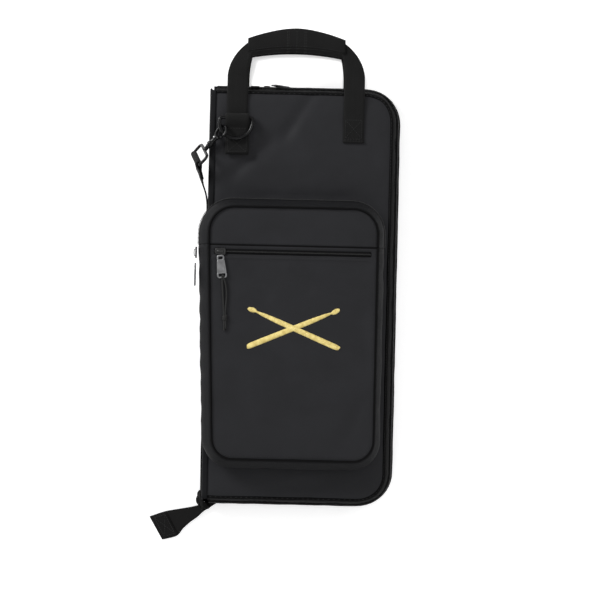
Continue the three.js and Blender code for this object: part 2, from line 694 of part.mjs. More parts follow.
function zips() {
  const slip = sliderBody(12, 8, 3.4).translate(-93, SLIP_Y, 89.4);
  add('slip_slider', 'coil', slip);
  const slipAlong = new THREE.Vector3(0.11, -1, 0).normalize();
  const slipAcross = new THREE.Vector3(1, 0.11, 0).normalize();
  add('slip_pull', 'grey_metal', placedTab(point(-92.8, SLIP_Y - 4.6, 91.6), slipAlong, slipAcross));
  add('slip_cord', 'cord', cordTube(SLIP_CORD));

  const side = sliderBody(13, 8, 3.4).rotateZ(Math.PI / 2).rotateY(-Math.PI / 2);
  add('pocket_slider', 'coil', side.translate(-120.8, 49, ZIP_LEVEL));
  add('pocket_pull', 'grey_metal', placedTab(point(-122.4, 36.5, ZIP_LEVEL + 1), point(0, -1, 0), UP));

  const top = sliderBody(13, 9, 3.6).rotateX(-Math.PI / 2);
  add('main_slider', 'coil', top.translate(-45, HALF_LENGTH - 1.2, 26));
  const mainAlong = new THREE.Vector3(0.6, 0, -0.8);
  const mainAcross = new THREE.Vector3(0.8, 0, 0.6);
  add('main_pull', 'grey_metal', placedTab(point(-37.6, HALF_LENGTH + 3.4, 29), mainAlong, mainAcross));
}

// ---- the whole bag ------------------------------------------------------------------------
rearCover();
add('strap_tail', 'webbing', strapTail());
spine();
add('strap_run', 'webbing', strapRun());
add('strap_slide', 'plastic', strapSlide());
frontCover();
add('front_handle_loop', 'webbing', handleLoop(HANDLE_HINGE_Y, COVER_FACE + GAP));
add('rear_handle_loop', 'webbing', handleLoop(REAR_HANDLE_HINGE_Y, 0));
add('d_ring_tab', 'webbing', dRingTab());
const ring = add('d_ring', 'black_metal', dRing());
ring.position.copy(BAR);
ring.rotation.x = -D_TILT;
const hook = hookGroup();
bag.add(hook);
add('hook_body', 'black_metal', hookBody(), hook);
add('hook_gate', 'black_metal', hookGate(), hook);
add('hook_eye', 'black_metal', hookEye(hook.position));
add('strap_end_loop', 'webbing', strapEndLoop(hook.position));
outerPocket();
add('badge', 'thread', badge());
zips();

export default bag;
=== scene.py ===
"""Looks of the drum stick bag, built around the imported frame.

+Y points to the handles and +Z out of the front. Shapes are worked out in millimetres and built in metres.
"""
import json
import math

import bpy
import numpy as np
from mathutils import Matrix, Vector


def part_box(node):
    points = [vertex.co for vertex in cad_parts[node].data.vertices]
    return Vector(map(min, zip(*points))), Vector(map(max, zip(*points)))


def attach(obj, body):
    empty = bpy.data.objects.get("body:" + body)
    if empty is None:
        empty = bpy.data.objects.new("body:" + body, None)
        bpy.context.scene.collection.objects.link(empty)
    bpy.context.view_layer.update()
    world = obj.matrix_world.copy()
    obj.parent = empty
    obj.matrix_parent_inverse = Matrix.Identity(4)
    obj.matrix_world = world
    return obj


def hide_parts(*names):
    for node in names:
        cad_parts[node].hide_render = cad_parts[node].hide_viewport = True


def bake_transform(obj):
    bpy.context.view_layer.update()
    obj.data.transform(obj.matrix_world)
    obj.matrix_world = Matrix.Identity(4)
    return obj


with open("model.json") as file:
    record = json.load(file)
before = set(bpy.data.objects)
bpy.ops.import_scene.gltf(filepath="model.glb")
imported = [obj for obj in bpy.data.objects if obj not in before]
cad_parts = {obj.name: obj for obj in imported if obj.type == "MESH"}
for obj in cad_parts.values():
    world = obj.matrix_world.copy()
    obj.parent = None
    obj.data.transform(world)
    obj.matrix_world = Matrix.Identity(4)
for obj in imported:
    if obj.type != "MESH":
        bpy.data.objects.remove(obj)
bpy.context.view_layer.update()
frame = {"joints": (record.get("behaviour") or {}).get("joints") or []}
JOINT = {joint["name"]: joint for joint in frame["joints"]}
MM = 0.001


def spans(node):
    """A node's box as numpy corners in millimetres."""
    low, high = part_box(node)
    return np.array(low) / MM, np.array(high) / MM


# ---- camera -------------------------------------------------------------------------------
CAMERA_HEIGHT = 2.2
VIEW_WIDTH = 0.708
SEAM_LEVEL = 0.02
SENSOR = 36.0


def make_camera():
    data = bpy.data.cameras.new("camera")
    data.sensor_width = SENSOR
    data.lens = SENSOR * (CAMERA_HEIGHT - SEAM_LEVEL) / VIEW_WIDTH
    data.clip_end = 20
    camera = bpy.data.objects.new("camera", data)
    camera.location = (-0.0007, -0.0032, CAMERA_HEIGHT)
    camera.rotation_euler = (0, 0, math.radians(1.3))
    bpy.context.scene.collection.objects.link(camera)
    bpy.context.scene.camera = camera


make_camera()

# ---- cord route, the CAD's own points in metres -------------------------------------------
CORD_DIAMETER = 0.0024
CORD_ROUTE = [(-0.0899, 0.0186, 0.0916), (-0.0897, 0.014, 0.0912), (-0.089, 0.004, 0.091),
              (-0.0882, -0.006, 0.091),
              (-0.0876, -0.016, 0.091), (-0.0871, -0.026, 0.091), (-0.0866, -0.04, 0.091)]

# ---- materials ----------------------------------------------------------------------------
MATERIALS = {}


class Nodes:
    """Short helper for building a material's node tree."""

    def __init__(self, name):
        self.material = bpy.data.materials.new(name)
        self.material.use_nodes = True
        self.tree = self.material.node_tree
        self.shader = self.tree.nodes["Principled BSDF"]
        MATERIALS[name] = self.material

    def node(self, kind, **inputs):
        made = self.tree.nodes.new(kind)
        for key, value in inputs.items():
            self.put(made.inputs[key.replace("_", " ")], value)
        return made

    def put(self, socket, value):
        if isinstance(value, bpy.types.NodeSocket):
            self.tree.links.new(value, socket)
        else:
            socket.default_value = value

    def math(self, operation, a, b=0.0, c=0.0):
        made = self.tree.nodes.new("ShaderNodeMath")
        made.operation = operation
        for socket, value in zip(made.inputs, (a, b, c)):
            self.put(socket, value)
        return made.outputs[0]

    def ramp(self, value, stops):
        made = self.tree.nodes.new("ShaderNodeValToRGB")
        made.color_ramp.elements[0].position = stops[0][0]
        made.color_ramp.elements[0].color = (*stops[0][1], 1)
        made.color_ramp.elements[1].position = stops[1][0]
        made.color_ramp.elements[1].color = (*stops[1][1], 1)
        self.tree.links.new(value, made.inputs[0])
        return made.outputs[0]

    def noise(self, vector, scale, detail=3.0, rough=0.5):
        made = self.node("ShaderNodeTexNoise", Vector=vector, Scale=scale, Detail=detail, Roughness=rough)
        return made.outputs[0]

    def finish(self, color, roughness, height=None, strength=0.3, distance=0.0003, **constants):
        self.put(self.shader.inputs["Base Color"], color)
        self.put(self.shader.inputs["Roughness"], roughness)
        for key, value in constants.items():
            self.shader.inputs[key.replace("_", " ")].default_value = value
        if height is not None:
            bump = self.node("ShaderNodeBump", Strength=strength, Distance=distance, Height=height)
            self.tree.links.new(bump.outputs[0], self.shader.inputs["Normal"])
        return self.material


def scaled(color, factor):
    return tuple(c * factor for c in color)


def woven(name, color, pitch, roughness, strength, mottle_and_wrinkle_shade=0.18, sheen=0.15, specular=0.2):
    """Plain weave on any face: threads run along all three axes of the object."""
    n = Nodes(name)
    place = n.node("ShaderNodeTexCoord").outputs["Object"]
    split = n.node("ShaderNodeSeparateXYZ", Vector=place)
    k = 2 * math.pi / (pitch * MM)
    waves = [n.math("SINE", n.math("MULTIPLY", split.outputs[i], k)) for i in range(3)]
    weave = n.math("MULTIPLY", waves[0], waves[1])
    weave = n.math("ADD", weave, n.math("MULTIPLY", waves[2], n.math("ADD", waves[0], waves[1])))
    # The large cloud noise tints the cloth lighter and darker in soft blotches: partly random tone, partly
    # painted shade standing in for wrinkles. The fine slub noise is the yarn's own tone.
    cloud = n.noise(place, 22, 4)
    slub = n.noise(place, 900, 2)
    shade = n.math("ADD", n.math("MULTIPLY", cloud, 0.75), n.math("MULTIPLY", slub, 0.25))
    tint = n.ramp(shade, [(0.3, scaled(color, 1 - mottle_and_wrinkle_shade)), (0.7, scaled(color, 1 + mottle_and_wrinkle_shade))])
    height = n.math("ADD", weave, n.math("MULTIPLY", slub, 1.5))
    rough = n.math("MULTIPLY_ADD", cloud, 0.2, roughness - 0.1)
    return n.finish(tint, rough, height, strength, 0.00012, Sheen_Weight=sheen, Sheen_Roughness=0.5,
                    Specular_IOR_Level=specular)


def webbing(name, color, pitch=2.2, roughness=0.8, strength=0.6):
    """Herringbone webbing in the piece's own UVs: U along the band, V across it, in metres."""
    n = Nodes(name)
    uv = n.node("ShaderNodeSeparateXYZ", Vector=n.node("ShaderNodeUVMap").outputs[0])
    u, v = uv.outputs[0], uv.outputs[1]
    k = 2 * math.pi / (pitch * MM)
    chevron = n.math("PINGPONG", v, 0.003)
    rib = n.math("SINE", n.math("MULTIPLY", n.math("ADD", u, chevron), k))
    rows = n.math("SINE", n.math("MULTIPLY", v, 2 * math.pi / (0.9 * MM)))
    height = n.math("ADD", rib, n.math("MULTIPLY", rows, 0.5))
    place = n.node("ShaderNodeTexCoord").outputs["Object"]
    fuzz = n.noise(place, 1400, 2)
    cloud = n.noise(place, 60, 3)
    shade = n.math("MULTIPLY_ADD", rib, 0.22,
                   n.math("MULTIPLY_ADD", fuzz, 0.35, n.math("MULTIPLY", cloud, 0.6)))
    tint = n.ramp(shade, [(0.15, scaled(color, 0.72)), (0.85, scaled(color, 1.3))])
    return n.finish(tint, n.math("MULTIPLY_ADD", fuzz, 0.2, roughness - 0.1), height, strength, 0.0002,
                    Sheen_Weight=0.02, Specular_IOR_Level=0.15)


def moulded(name, color, roughness, metallic=0.0, grain=900, strength=0.08, specular=0.5):
    n = Nodes(name)
    place = n.node("ShaderNodeTexCoord").outputs["Object"]
    speck = n.noise(place, grain, 3)
    wear = n.noise(place, 140, 4)
    tint = n.ramp(wear, [(0.35, scaled(color, 0.85)), (0.75, scaled(color, 1.2))])
    return n.finish(tint, n.math("MULTIPLY_ADD", wear, 0.25, roughness - 0.12), speck, strength, 0.0001,
                    Metallic=metallic, Specular_IOR_Level=specular)


def braid(name, color):
    n = Nodes(name)
    place = n.node("ShaderNodeTexCoord").outputs["Object"]
    cells = n.node("ShaderNodeTexVoronoi", Vector=place, Scale=1500.0).outputs[0]
    # Lighter cell centres are a painted highlight on each strand and darker cell edges are painted shade
    # between strands; the same cells also give the real bump.
    tint = n.ramp(cells, [(0.1, scaled(color, 1.5)), (0.8, scaled(color, 0.5))])
    return n.finish(tint, n.math("MULTIPLY_ADD", cells, 0.2, 0.65), cells, 0.5, 0.0002)


woven("nylon", (0.0112, 0.0114, 0.0134), 0.75, 0.6, 0.25, sheen=0.04)
# The gusset nylon is the smoother black gusset fabric, its base darkened further as painted shade on the
# sideways-facing side walls.
woven("gusset_nylon_with_shade", (0.0050, 0.0050, 0.0052), 0.75, 0.8, 0.25, sheen=0.0, specular=0.06)
# The wall nylon is a darker copy of the nylon: painted shade on the pocket's side walls and on the spine,
# which face sideways.
woven("shaded_wall_nylon", (0.0068, 0.0069, 0.0078), 0.75, 0.72, 0.25, sheen=0.0, specular=0.1)
woven("binding", (0.0042, 0.0042, 0.0044), 0.9, 0.85, 0.5, sheen=0.0, specular=0.06)
woven("lining", (0.03, 0.03, 0.033), 0.5, 0.7, 0.15)
woven("foam", (0.045, 0.045, 0.045), 1.3, 0.95, 0.4)
woven("zip_tape", (0.0045, 0.0045, 0.0048), 0.6, 0.8, 0.4, sheen=0.0, specular=0.06)
webbing("webbing", (0.0062, 0.0062, 0.0062))
webbing("strap_webbing", (0.0052, 0.0051, 0.0051), pitch=2.6)
moulded("coil", (0.004, 0.004, 0.004), 0.5)
moulded("black_metal", (0.003, 0.003, 0.0034), 0.24, specular=0.22)
moulded("steel", (0.5, 0.5, 0.5), 0.3, metallic=1.0)
moulded("grey_metal", (0.21, 0.21, 0.215), 0.42, metallic=0.7)
moulded("plastic", (0.009, 0.009, 0.009), 0.4)
braid("cord", (0.0036, 0.0036, 0.0036))
braid("thread_black", (0.007, 0.007, 0.0074))


def gold_thread():
    n = Nodes("gold_thread")
    place = n.node("ShaderNodeTexCoord").outputs["Object"]
    tone = n.noise(place, 260, 3)
    fibre = n.noise(place, 2600, 2)
    tint = n.ramp(tone, [(0.3, (0.60, 0.46, 0.13)), (0.7, (0.86, 0.72, 0.27))])
    return n.finish(tint, n.math("MULTIPLY_ADD", fibre, 0.2, 0.38), fibre, 0.3, 0.0001, Sheen_Weight=0.3)


gold_thread()

# ---- mesh helpers (millimetres in, metres out) --------------------------------------------


def build(name, verts, faces, material, uvs=None, smooth=True):
    mesh = bpy.data.meshes.new(name)
    mesh.from_pydata([tuple(c * MM for c in v) for v in verts], [], faces)
    if uvs is not None:
        layer = mesh.uv_layers.new(name="UVMap")
        for loop in mesh.loops:
            u, v = uvs[loop.vertex_index]
            layer.data[loop.index].uv = (u * MM, v * MM)
    mesh.validate()
    mesh.materials.append(MATERIALS[material])
    if smooth:
        mesh.shade_smooth()
    obj = bpy.data.objects.new(name, mesh)
    bpy.context.scene.collection.objects.link(obj)
    face_out(obj)
    return obj


def face_out(obj):
    mesh = obj.data
    co = np.array([v.co for v in mesh.vertices])
    mesh.calc_loop_triangles()
    tri = np.array([t.vertices for t in mesh.loop_triangles])
    volume = np.einsum("ij,ij->i", co[tri[:, 0]], np.cross(co[tri[:, 1]], co[tri[:, 2]])).sum()
    if volume < 0:
        mesh.flip_normals()


def unit(vector):
    vector = np.asarray(vector, float)
    return vector / np.linalg.norm(vector)


def sweep_data(stations, section, loop=False):
    """Vertices, faces and UVs of a closed section swept over stations (point, across, up)."""
    section = np.asarray(section, float)
    n = len(section)
    verts, uvs = [], []
    around = np.concatenate([[0], np.cumsum(np.linalg.norm(np.diff(section, axis=0), axis=1))])
    along = 0.0
    previous = None
    for point, across, up in stations:
        point, across, up = (np.asarray(v, float) for v in (point, across, up))
        if previous is not None:
            along += np.linalg.norm(point - previous)
        previous = point
        for k, (s, t) in enumerate(section):
            verts.append(point + across * s + up * t)
            uvs.append((along, around[k]))
    faces = []
    m = len(stations)
    for i in range(m if loop else m - 1):
        a, b = i * n, ((i + 1) % m) * n
        for k in range(n):
            q = (k + 1) % n
            faces.append((a + k, b + k, b + q, a + q))
    if not loop:
        faces.append(tuple(range(n)))
        faces.append(tuple(range((m - 1) * n, m * n))[::-1])
    return verts, faces, uvs


def sweep(name, stations, section, material, loop=False):
    verts, faces, uvs = sweep_data(stations, section, loop)
    return build(name, verts, faces, material, uvs)


class Heap:
    """Many small closed solids gathered into one piece."""

    def __init__(self):
        self.verts, self.faces, self.uvs = [], [], []

    def add(self, verts, faces, uvs=None):
        base = len(self.verts)
        self.verts.extend(verts)
        self.faces.extend(tuple(base + i for i in face) for face in faces)
        self.uvs.extend(uvs if uvs is not None else [(0, 0)] * len(verts))

    def made(self, name, material):
        return build(name, self.verts, self.faces, material, self.uvs)


def oval(width, height, sides=12, power=2.6):
    """Rounded section; a higher power is squarer."""
    points = []
    for i in range(sides):
        a = 2 * math.pi * (i + 0.5) / sides
        c, s = math.cos(a), math.sin(a)
        points.append((math.copysign(abs(c) ** (2 / power), c) * width / 2,
                       math.copysign(abs(s) ** (2 / power), s) * height / 2))
    return points


def band_section(width, thickness, cuts=6):
    """Section of a flat woven band with slightly rounded edges."""
    half, t = width / 2, thickness / 2
    xs = np.linspace(-half + t, half - t, cuts)
    top = [(x, t) for x in xs]
    return [(-half, 0.0)] + top + [(half, 0.0)] + [(x, -t) for x in xs[::-1]]


def smooth_path(points, count):
    """Catmull-Rom through points of any width, at even steps of the parameter."""
    p = np.asarray(points, float)
    p = np.vstack([2 * p[0] - p[1], p, 2 * p[-1] - p[-2]])
    out = []
    spans_count = len(p) - 3
    for i in range(count):
        t = i / (count - 1) * spans_count
        j = min(int(t), spans_count - 1)
        t -= j
        a, b, c, d = p[j:j + 4]
        out.append(0.5 * (2 * b + (c - a) * t + (2 * a - 5 * b + 4 * c - d) * t * t
                          + (3 * b - a - 3 * c + d) * t ** 3))
    return np.array(out)


def framed(path, normal):
    """Stations along a path: across is square to the path and to the given normal."""
    path = np.asarray(path, float)
    tangents = np.gradient(path, axis=0)
    normals = np.broadcast_to(np.asarray(normal, float), path.shape)
    stations = []
    for point, tangent, n in zip(path, tangents, normals):
        across = unit(np.cross(unit(tangent), n))
        stations.append((point, across, unit(np.cross(across, unit(tangent)))))
    return stations


def ripple(x, y, size, seed):
    """Soft seeded relief from a few crossed waves, about -1 to 1."""
    rng = np.random.default_rng(seed)
    total = np.zeros(np.broadcast(x, y).shape)
    for _ in range(9):
        a = rng.uniform(0, 2 * math.pi)
        k = 2 * math.pi / (size * rng.uniform(0.6, 1.7))
        total += np.sin(k * (np.cos(a) * x + np.sin(a) * y) + rng.uniform(0, 6.28)
                        + 0.6 * np.sin(k * 0.7 * (x - y)))
    return total / 4.5


def crease(x, y, start, end, width, depth):
    """A soft valley between two points, fading at both ends."""
    (x0, y0), (x1, y1) = start, end
    dx, dy = x1 - x0, y1 - y0
    length = math.hypot(dx, dy)
    t = ((x - x0) * dx + (y - y0) * dy) / length ** 2
    side = ((x - x0) * dy - (y - y0) * dx) / length
    fade = np.clip(np.minimum(t, 1 - t) * 3 + 0.4, 0, 1)
    return -depth * np.exp(-(side / width) ** 2) * fade * fade * (3 - 2 * fade)


def inside_depth(x, y, box, radii):
    """Distance in from a rounded rectangle's edge; radii: left low, right low, right top, left top."""
    x0, x1, y0, y1 = box
    cx, cy, hx, hy = (x0 + x1) / 2, (y0 + y1) / 2, (x1 - x0) / 2, (y1 - y0) / 2
    px, py = x - cx, y - cy
    r = np.where(px > 0, np.where(py > 0, radii[2], radii[1]), np.where(py > 0, radii[3], radii[0]))
    qx, qy = np.abs(px) - hx + r, np.abs(py) - hy + r
    return -(np.minimum(np.maximum(qx, qy), 0) + np.hypot(np.maximum(qx, 0), np.maximum(qy, 0)) - r)


def sheet_rows(box, radii, columns=70, pitch=4.0):
    """Grid points of a rounded rectangle, one row per height, following its corners."""
    x0, x1, y0, y1 = box
    low, high = max(radii[0], radii[1]), max(radii[2], radii[3])
    bend = np.linspace(0, math.pi / 2, 11)
    ys = list(y0 + low * (1 - np.cos(bend))) if low else [y0]
    top = list(y1 - high * (1 - np.cos(bend)))[::-1] if high else [y1]
    middle = np.linspace(ys[-1], top[0], max(3, int((top[0] - ys[-1]) / pitch)))[1:-1]
    ys = np.array(ys + list(middle) + top)

    def inset(y, r_low, r_high):
        a = np.clip(1 - (y - y0) / r_low, 0, 1) if r_low else 0
        b = np.clip(1 - (y1 - y) / r_high, 0, 1) if r_high else 0
        at_low = r_low * (1 - np.sqrt(1 - a * a)) if r_low else 0
        at_high = r_high * (1 - np.sqrt(1 - b * b)) if r_high else 0
        return at_low + at_high

    left = np.array([x0 + inset(y, radii[0], radii[3]) for y in ys])
    right = np.array([x1 - inset(y, radii[1], radii[2]) for y in ys])
    t = np.linspace(0, 1, columns)
    x = left[:, None] + (right - left)[:, None] * t[None, :]
    y = np.repeat(ys[:, None], columns, axis=1)
    return x, y


def panel(name, box, radii, level, thickness, material, columns=70, pitch=4.0, tilt=None, spread=None):
    """Closed soft sheet. level(x, y) is its outer surface; thickness goes the other way when negative."""
    x, y = sheet_rows(box, radii, columns, pitch)
    if tilt is not None:
        x = x + tilt(x, y)
    z = level(x, y)
    if spread is not None:
        x, y = spread(x, y)
    rows, cols = x.shape
    top = np.stack([x, y, z], -1).reshape(-1, 3)
    under = top.copy()
    under[:, 2] -= thickness
    verts = np.vstack([top, under])
    faces = []
    n = rows * cols
    for i in range(rows - 1):
        for j in range(cols - 1):
            a = i * cols + j
            faces.append((a, a + 1, a + cols + 1, a + cols))
            faces.append((n + a, n + a + cols, n + a + cols + 1, n + a + 1))
    edge = [i for i in range(cols)] + [i * cols + cols - 1 for i in range(1, rows)]
    edge += [(rows - 1) * cols + j for j in range(cols - 2, -1, -1)]
    edge += [i * cols for i in range(rows - 2, 0, -1)]
    for a, b in zip(edge, edge[1:] + edge[:1]):
        faces.append((a, n + a, n + b, b))
    uvs = [(v[1], v[0]) for v in verts]
    return build(name, verts.tolist(), faces, material, uvs)


def stitch_line(heap, path, normal, pitch=3.2, length=2.3, width=0.75, lift=0.25):
    """Small raised stitches along a path that lies on a surface."""
    path = np.asarray(path, float)
    lengths = np.concatenate([[0], np.cumsum(np.linalg.norm(np.diff(path, axis=0), axis=1))])
    count = int(lengths[-1] / pitch)
    for i in range(count):
        ends = [(i + 0.5) * pitch - length / 2, (i + 0.5) * pitch + length / 2]
        a, b = (np.array([np.interp(e, lengths, path[:, k]) for k in range(3)]) for e in ends)
        n = unit(normal)
        mid = (a + b) / 2 + n * lift
        along = unit(b - a)
        across = unit(np.cross(along, n))
        line = [a - n * 0.1, a * 0.7 + b * 0.3 + n * lift, mid, a * 0.3 + b * 0.7 + n * lift, b - n * 0.1]
        sizes = [0.35, 0.9, 1.0, 0.9, 0.35]
        stations = [(p, across * s, n * s) for p, s in zip(line, sizes)]
        heap.add(*sweep_data(stations, oval(width, width * 0.7, 6, 2)))


def dress(obj, body, slot, *nodes):
    """Rides on a body and stands for CAD nodes, hiding them; slot is not used."""
    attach(obj, body)
    if nodes:
        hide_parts(*nodes)
    return obj


# ---- levels read from the frame -----------------------------------------------------------
FACE_Z = spans("front_panel")[1][2]
PANEL_LOW, PANEL_HIGH = spans("front_panel")
REAR_LOW, REAR_HIGH = spans("rear_panel")
RIM_HIGH = spans("rear_binding")[1]
CORNER = 42.0
POCKET_LOW, POCKET_HIGH = spans("pocket_face")
FLAP_LOW, FLAP_HIGH = spans("flap_face")
POCKET_Z = POCKET_HIGH[2]
FLAP_SEAM_Y = (POCKET_HIGH[1] + FLAP_LOW[1]) / 2
SLIP_LOW, SLIP_HIGH = spans("slip_zip")
SLIP_Y = (SLIP_LOW[1] + SLIP_HIGH[1]) / 2


def ease(t):
    t = np.clip(t, 0, 1)
    return t * t * (3 - 2 * t)


def stuffed(x, y):
    """Outline correction: the CAD body is about 6 mm short and 2 mm narrow beside the photograph.

    The visual rim, shells and spine are moved out by up to 4.2 mm at the top, 1.9 mm at the bottom and 2.2 mm
    on the right, so they differ from the CAD and collision solids there.
    """
    x = x + 2.2 * ease((x - 40) / 60)
    return x, y + 4.2 * ease((y - 150) / 75) - 1.9 * ease((-y - 150) / 75)


def rim(offset_steps=12, left=-104.0):
    """Path round the top, right and bottom of the covers with outward normals."""
    half_x, half_y = RIM_HIGH[0], RIM_HIGH[1]
    in_x, in_y = half_x - CORNER, half_y - CORNER
    points = [(x, half_y, math.pi / 2) for x in np.linspace(left, in_x, 30)[:-1]]
    points += [(in_x + CORNER * math.cos(a), in_y + CORNER * math.sin(a), a)
               for a in np.linspace(math.pi / 2, 0, offset_steps)]
    points += [(half_x, y, 0.0) for y in np.linspace(in_y, -in_y, 60)[1:-1]]
    points += [(in_x + CORNER * math.cos(a), -in_y + CORNER * math.sin(a), a)
               for a in np.linspace(0, -math.pi / 2, offset_steps)]
    points += [(x, -half_y, -math.pi / 2) for x in np.linspace(in_x, left, 30)[1:]]
    return [(np.array([*map(float, stuffed(x, y)), 0.0]), np.array([math.cos(a), math.sin(a), 0.0]))
            for x, y, a in points]


def refined(stations, factor):
    out = []
    for (p, n), (q, m) in zip(stations, stations[1:]):
        for k in range(factor):
            t = k / factor
            out.append((p + (q - p) * t, unit(n + (m - n) * t)))
    out.append(stations[-1])
    return out


Z = np.array([0.0, 0.0, 1.0])


def rim_sweep(name, section, material, wobble=0.0, seed=1, stations=None):
    """Section of (offset, z) round the rim, with a little seeded wobble across."""
    base = stations or rim()
    placed = []
    for p, n in base:
        shift = wobble * float(ripple(np.array(p[0]), np.array(p[1]), 28, seed))
        placed.append((p + n * shift, n, Z))
    return sweep(name, placed, section, material)


# ---- covers -------------------------------------------------------------------------------
def front_level(x, y):
    box = (PANEL_LOW[0], PANEL_HIGH[0], PANEL_LOW[1], PANEL_HIGH[1])
    depth = inside_depth(x, y, box, (3, CORNER - 11, CORNER - 11, 3))
    rise = 1 - np.exp(-np.clip(depth, 0, None) / 5)
    z = FACE_Z - 3.0 + 3.1 * rise
    z = z + 0.35 * ripple(x, y, 60, 5) * rise + 0.12 * ripple(x, y, 22, 6) * rise
    folds = crease(x, y, (14, 240), (-26, 180), 7, 2.1) + crease(x, y, (-38, 184), (-86, 138), 7, 1.9)
    folds += crease(x, y, (-12, 196), (-46, 172), 9, 0.9) + crease(x, y, (72, 172), (94, 128), 8, 1.1)
    folds += crease(x, y, (-70, -228), (40, -214), 7, 0.9) + crease(x, y, (95, 70), (97, -170), 4, 0.9)
    folds += crease(x, y, (-84, 116), (66, 117), 6, 1.1) + crease(x, y, (84, 232), (40, 196), 8, 0.8)
    return z + folds * rise


def rear_level(x, y):
    box = (REAR_LOW[0], REAR_HIGH[0], REAR_LOW[1], REAR_HIGH[1])
    depth = inside_depth(x, y, box, (3, CORNER, CORNER, 3))
    lift = 1.5 * np.exp(-np.clip(depth, 0, None) / 3.0)
    calm = 1 - np.exp(-np.clip(depth, 0, None) / 12)
    return 0.02 + lift + 0.12 * calm * (1 + ripple(x, y, 50, 8))


def covers():
    box = (PANEL_LOW[0], PANEL_HIGH[0], PANEL_LOW[1], PANEL_HIGH[1])
    radii = (0, CORNER - 11.2, CORNER - 11.2, 0)
    shell = panel("front_shell", box, radii, front_level, 1.2, "nylon", 90, 3.5, spread=stuffed)
    dress(shell, "front_cover", "nylon", "front_panel")
    box = (REAR_LOW[0], REAR_HIGH[0], REAR_LOW[1], REAR_HIGH[1])
    radii = (0, CORNER - 0.6, CORNER - 0.6, 0)
    shell = panel("rear_shell", box, radii, rear_level, -1.4, "nylon", 80, 4, spread=stuffed)
    dress(shell, "rear_cover", "nylon", "rear_panel")
    for side, body, outward in (("rear", "rear_cover", 1), ("front", "front_cover", -1)):
        low, high = spans(f"{side}_lining")
        face = high[2] if outward > 0 else low[2]
        radius = CORNER - (3.6 if side == "rear" else 14.2)

        def quilt(x, y, face=face, outward=outward):
            return face - outward * (0.25 + 0.22 * ripple(x, y, 45, 11))

        foam_low, foam_high = spans(f"{side}_foam")

        def slab(x, y, top=foam_high[2]):
            return top - 2.4 + 0.1 * ripple(x, y, 30, 13)

        pad = panel(f"{side}_foam_pad", (low[0], high[0], low[1], high[1]), (0, radius, radius, 0), slab,
                    foam_high[2] - foam_low[2] - 2.5, "foam", 30, 12)
        dress(pad, body, "foam", f"{side}_foam")
        dress(panel(f"{side}_lining_cloth", (low[0], high[0], low[1], high[1]), (0, radius, radius, 0), quilt,
                    0.5 * outward, "lining", 50, 6), body, "lining", f"{side}_lining")


def bindings_and_gussets():
    tape = [(-3.3, 2.0), (-2.2, 1.6), (-0.9, 1.9), (-0.1, 3.0), (0.0, 4.4), (-0.4, 5.7), (-1.6, 6.5),
            (-3.3, 6.4)]
    dress(rim_sweep("rear_edge_binding", tape, "binding", 0.25, 3), "rear_cover", "binding", "rear_binding")
    tape = [(-14, 46.0), (-12.2, 45.6), (-10.7, 46.2), (-10.1, 47.6), (-10.2, 49.4), (-11.0, 50.7),
            (-12.6, 51.3),
            (-14, 50.6)]
    dress(rim_sweep("front_edge_binding", tape, "binding", 0.3, 4), "front_cover", "binding", "front_binding")
    wall = [(-2.6, 6.6), (-1.2, 6.6), (-1.3, 10), (-2.0, 14), (-2.9, 18), (-3.9, 21.7), (-5.0, 21.7),
            (-4.3, 18),
            (-3.5, 14), (-2.9, 10)]
    # The cover side walls use the gusset nylon, whose extra darkness is painted shade.
    dress(rim_sweep("rear_side_wall", wall, "gusset_nylon_with_shade", 0.55, 7), "rear_cover", "webbing", "rear_gusset")
    wall = [(-7.7, 30.2), (-6.4, 30.2), (-6.8, 34), (-8.0, 38.5), (-9.6, 42.5), (-11.2, 45.7), (-12.3, 45.7),
            (-10.9, 42.5), (-9.4, 38.5), (-8.2, 34)]
    dress(rim_sweep("front_side_wall", wall, "gusset_nylon_with_shade", 0.6, 9), "front_cover", "webbing",
          "front_gusset")
    stitches = {"rear_cover": Heap(), "front_cover": Heap()}
    for body, offset, z in (("rear_cover", -1.25, 8.0), ("front_cover", -6.7, 31.6),
                            ("front_cover", -12.6, 51.45)):
        stations = rim()
        line = [p + n * offset + Z * z for p, n in stations]
        on_top = z > 50
        for k in range(len(line) - 1):
            facing = Z if on_top else stations[k][1]
            stitch_line(stitches[body], line[k:k + 2], facing, 3.4, 2.4, 0.6, 0.15)
    dress(stitches["rear_cover"].made("rear_seam_stitches", "thread_black"), "rear_cover", "binding")
    dress(stitches["front_cover"].made("front_seam_stitches", "thread_black"), "front_cover", "binding")


def teeth(heap, stations, offset, z, out, pitch=1.5):
    """Coil loops along stations: short rounded hooks that reach over the middle line."""
    path = np.array([p + n * offset + Z * z for p, n in stations])
    normals = np.array([n for _, n in stations])
    lengths = np.concatenate([[0], np.cumsum(np.linalg.norm(np.diff(path, axis=0), axis=1))])
    for i in range(int(lengths[-1] / pitch)):
        s = (i + 0.5) * pitch
        p = np.array([np.interp(s, lengths, path[:, k]) for k in range(3)])
        n = unit([np.interp(s, lengths, normals[:, k]) for k in range(3)])
        along = np.cross(Z, n)
        line = [p - Z * 1.1 * out, p - Z * 0.6 * out + n * 0.75, p + Z * 0.5 * out + n * 0.9,
                p + Z * 1.1 * out + n * 0.2]
        heap.add(*sweep_data([(q, along, unit(np.cross(along, Z) + Z * 0.5)) for q in line],
                             oval(0.95, 0.8, 5, 2)))


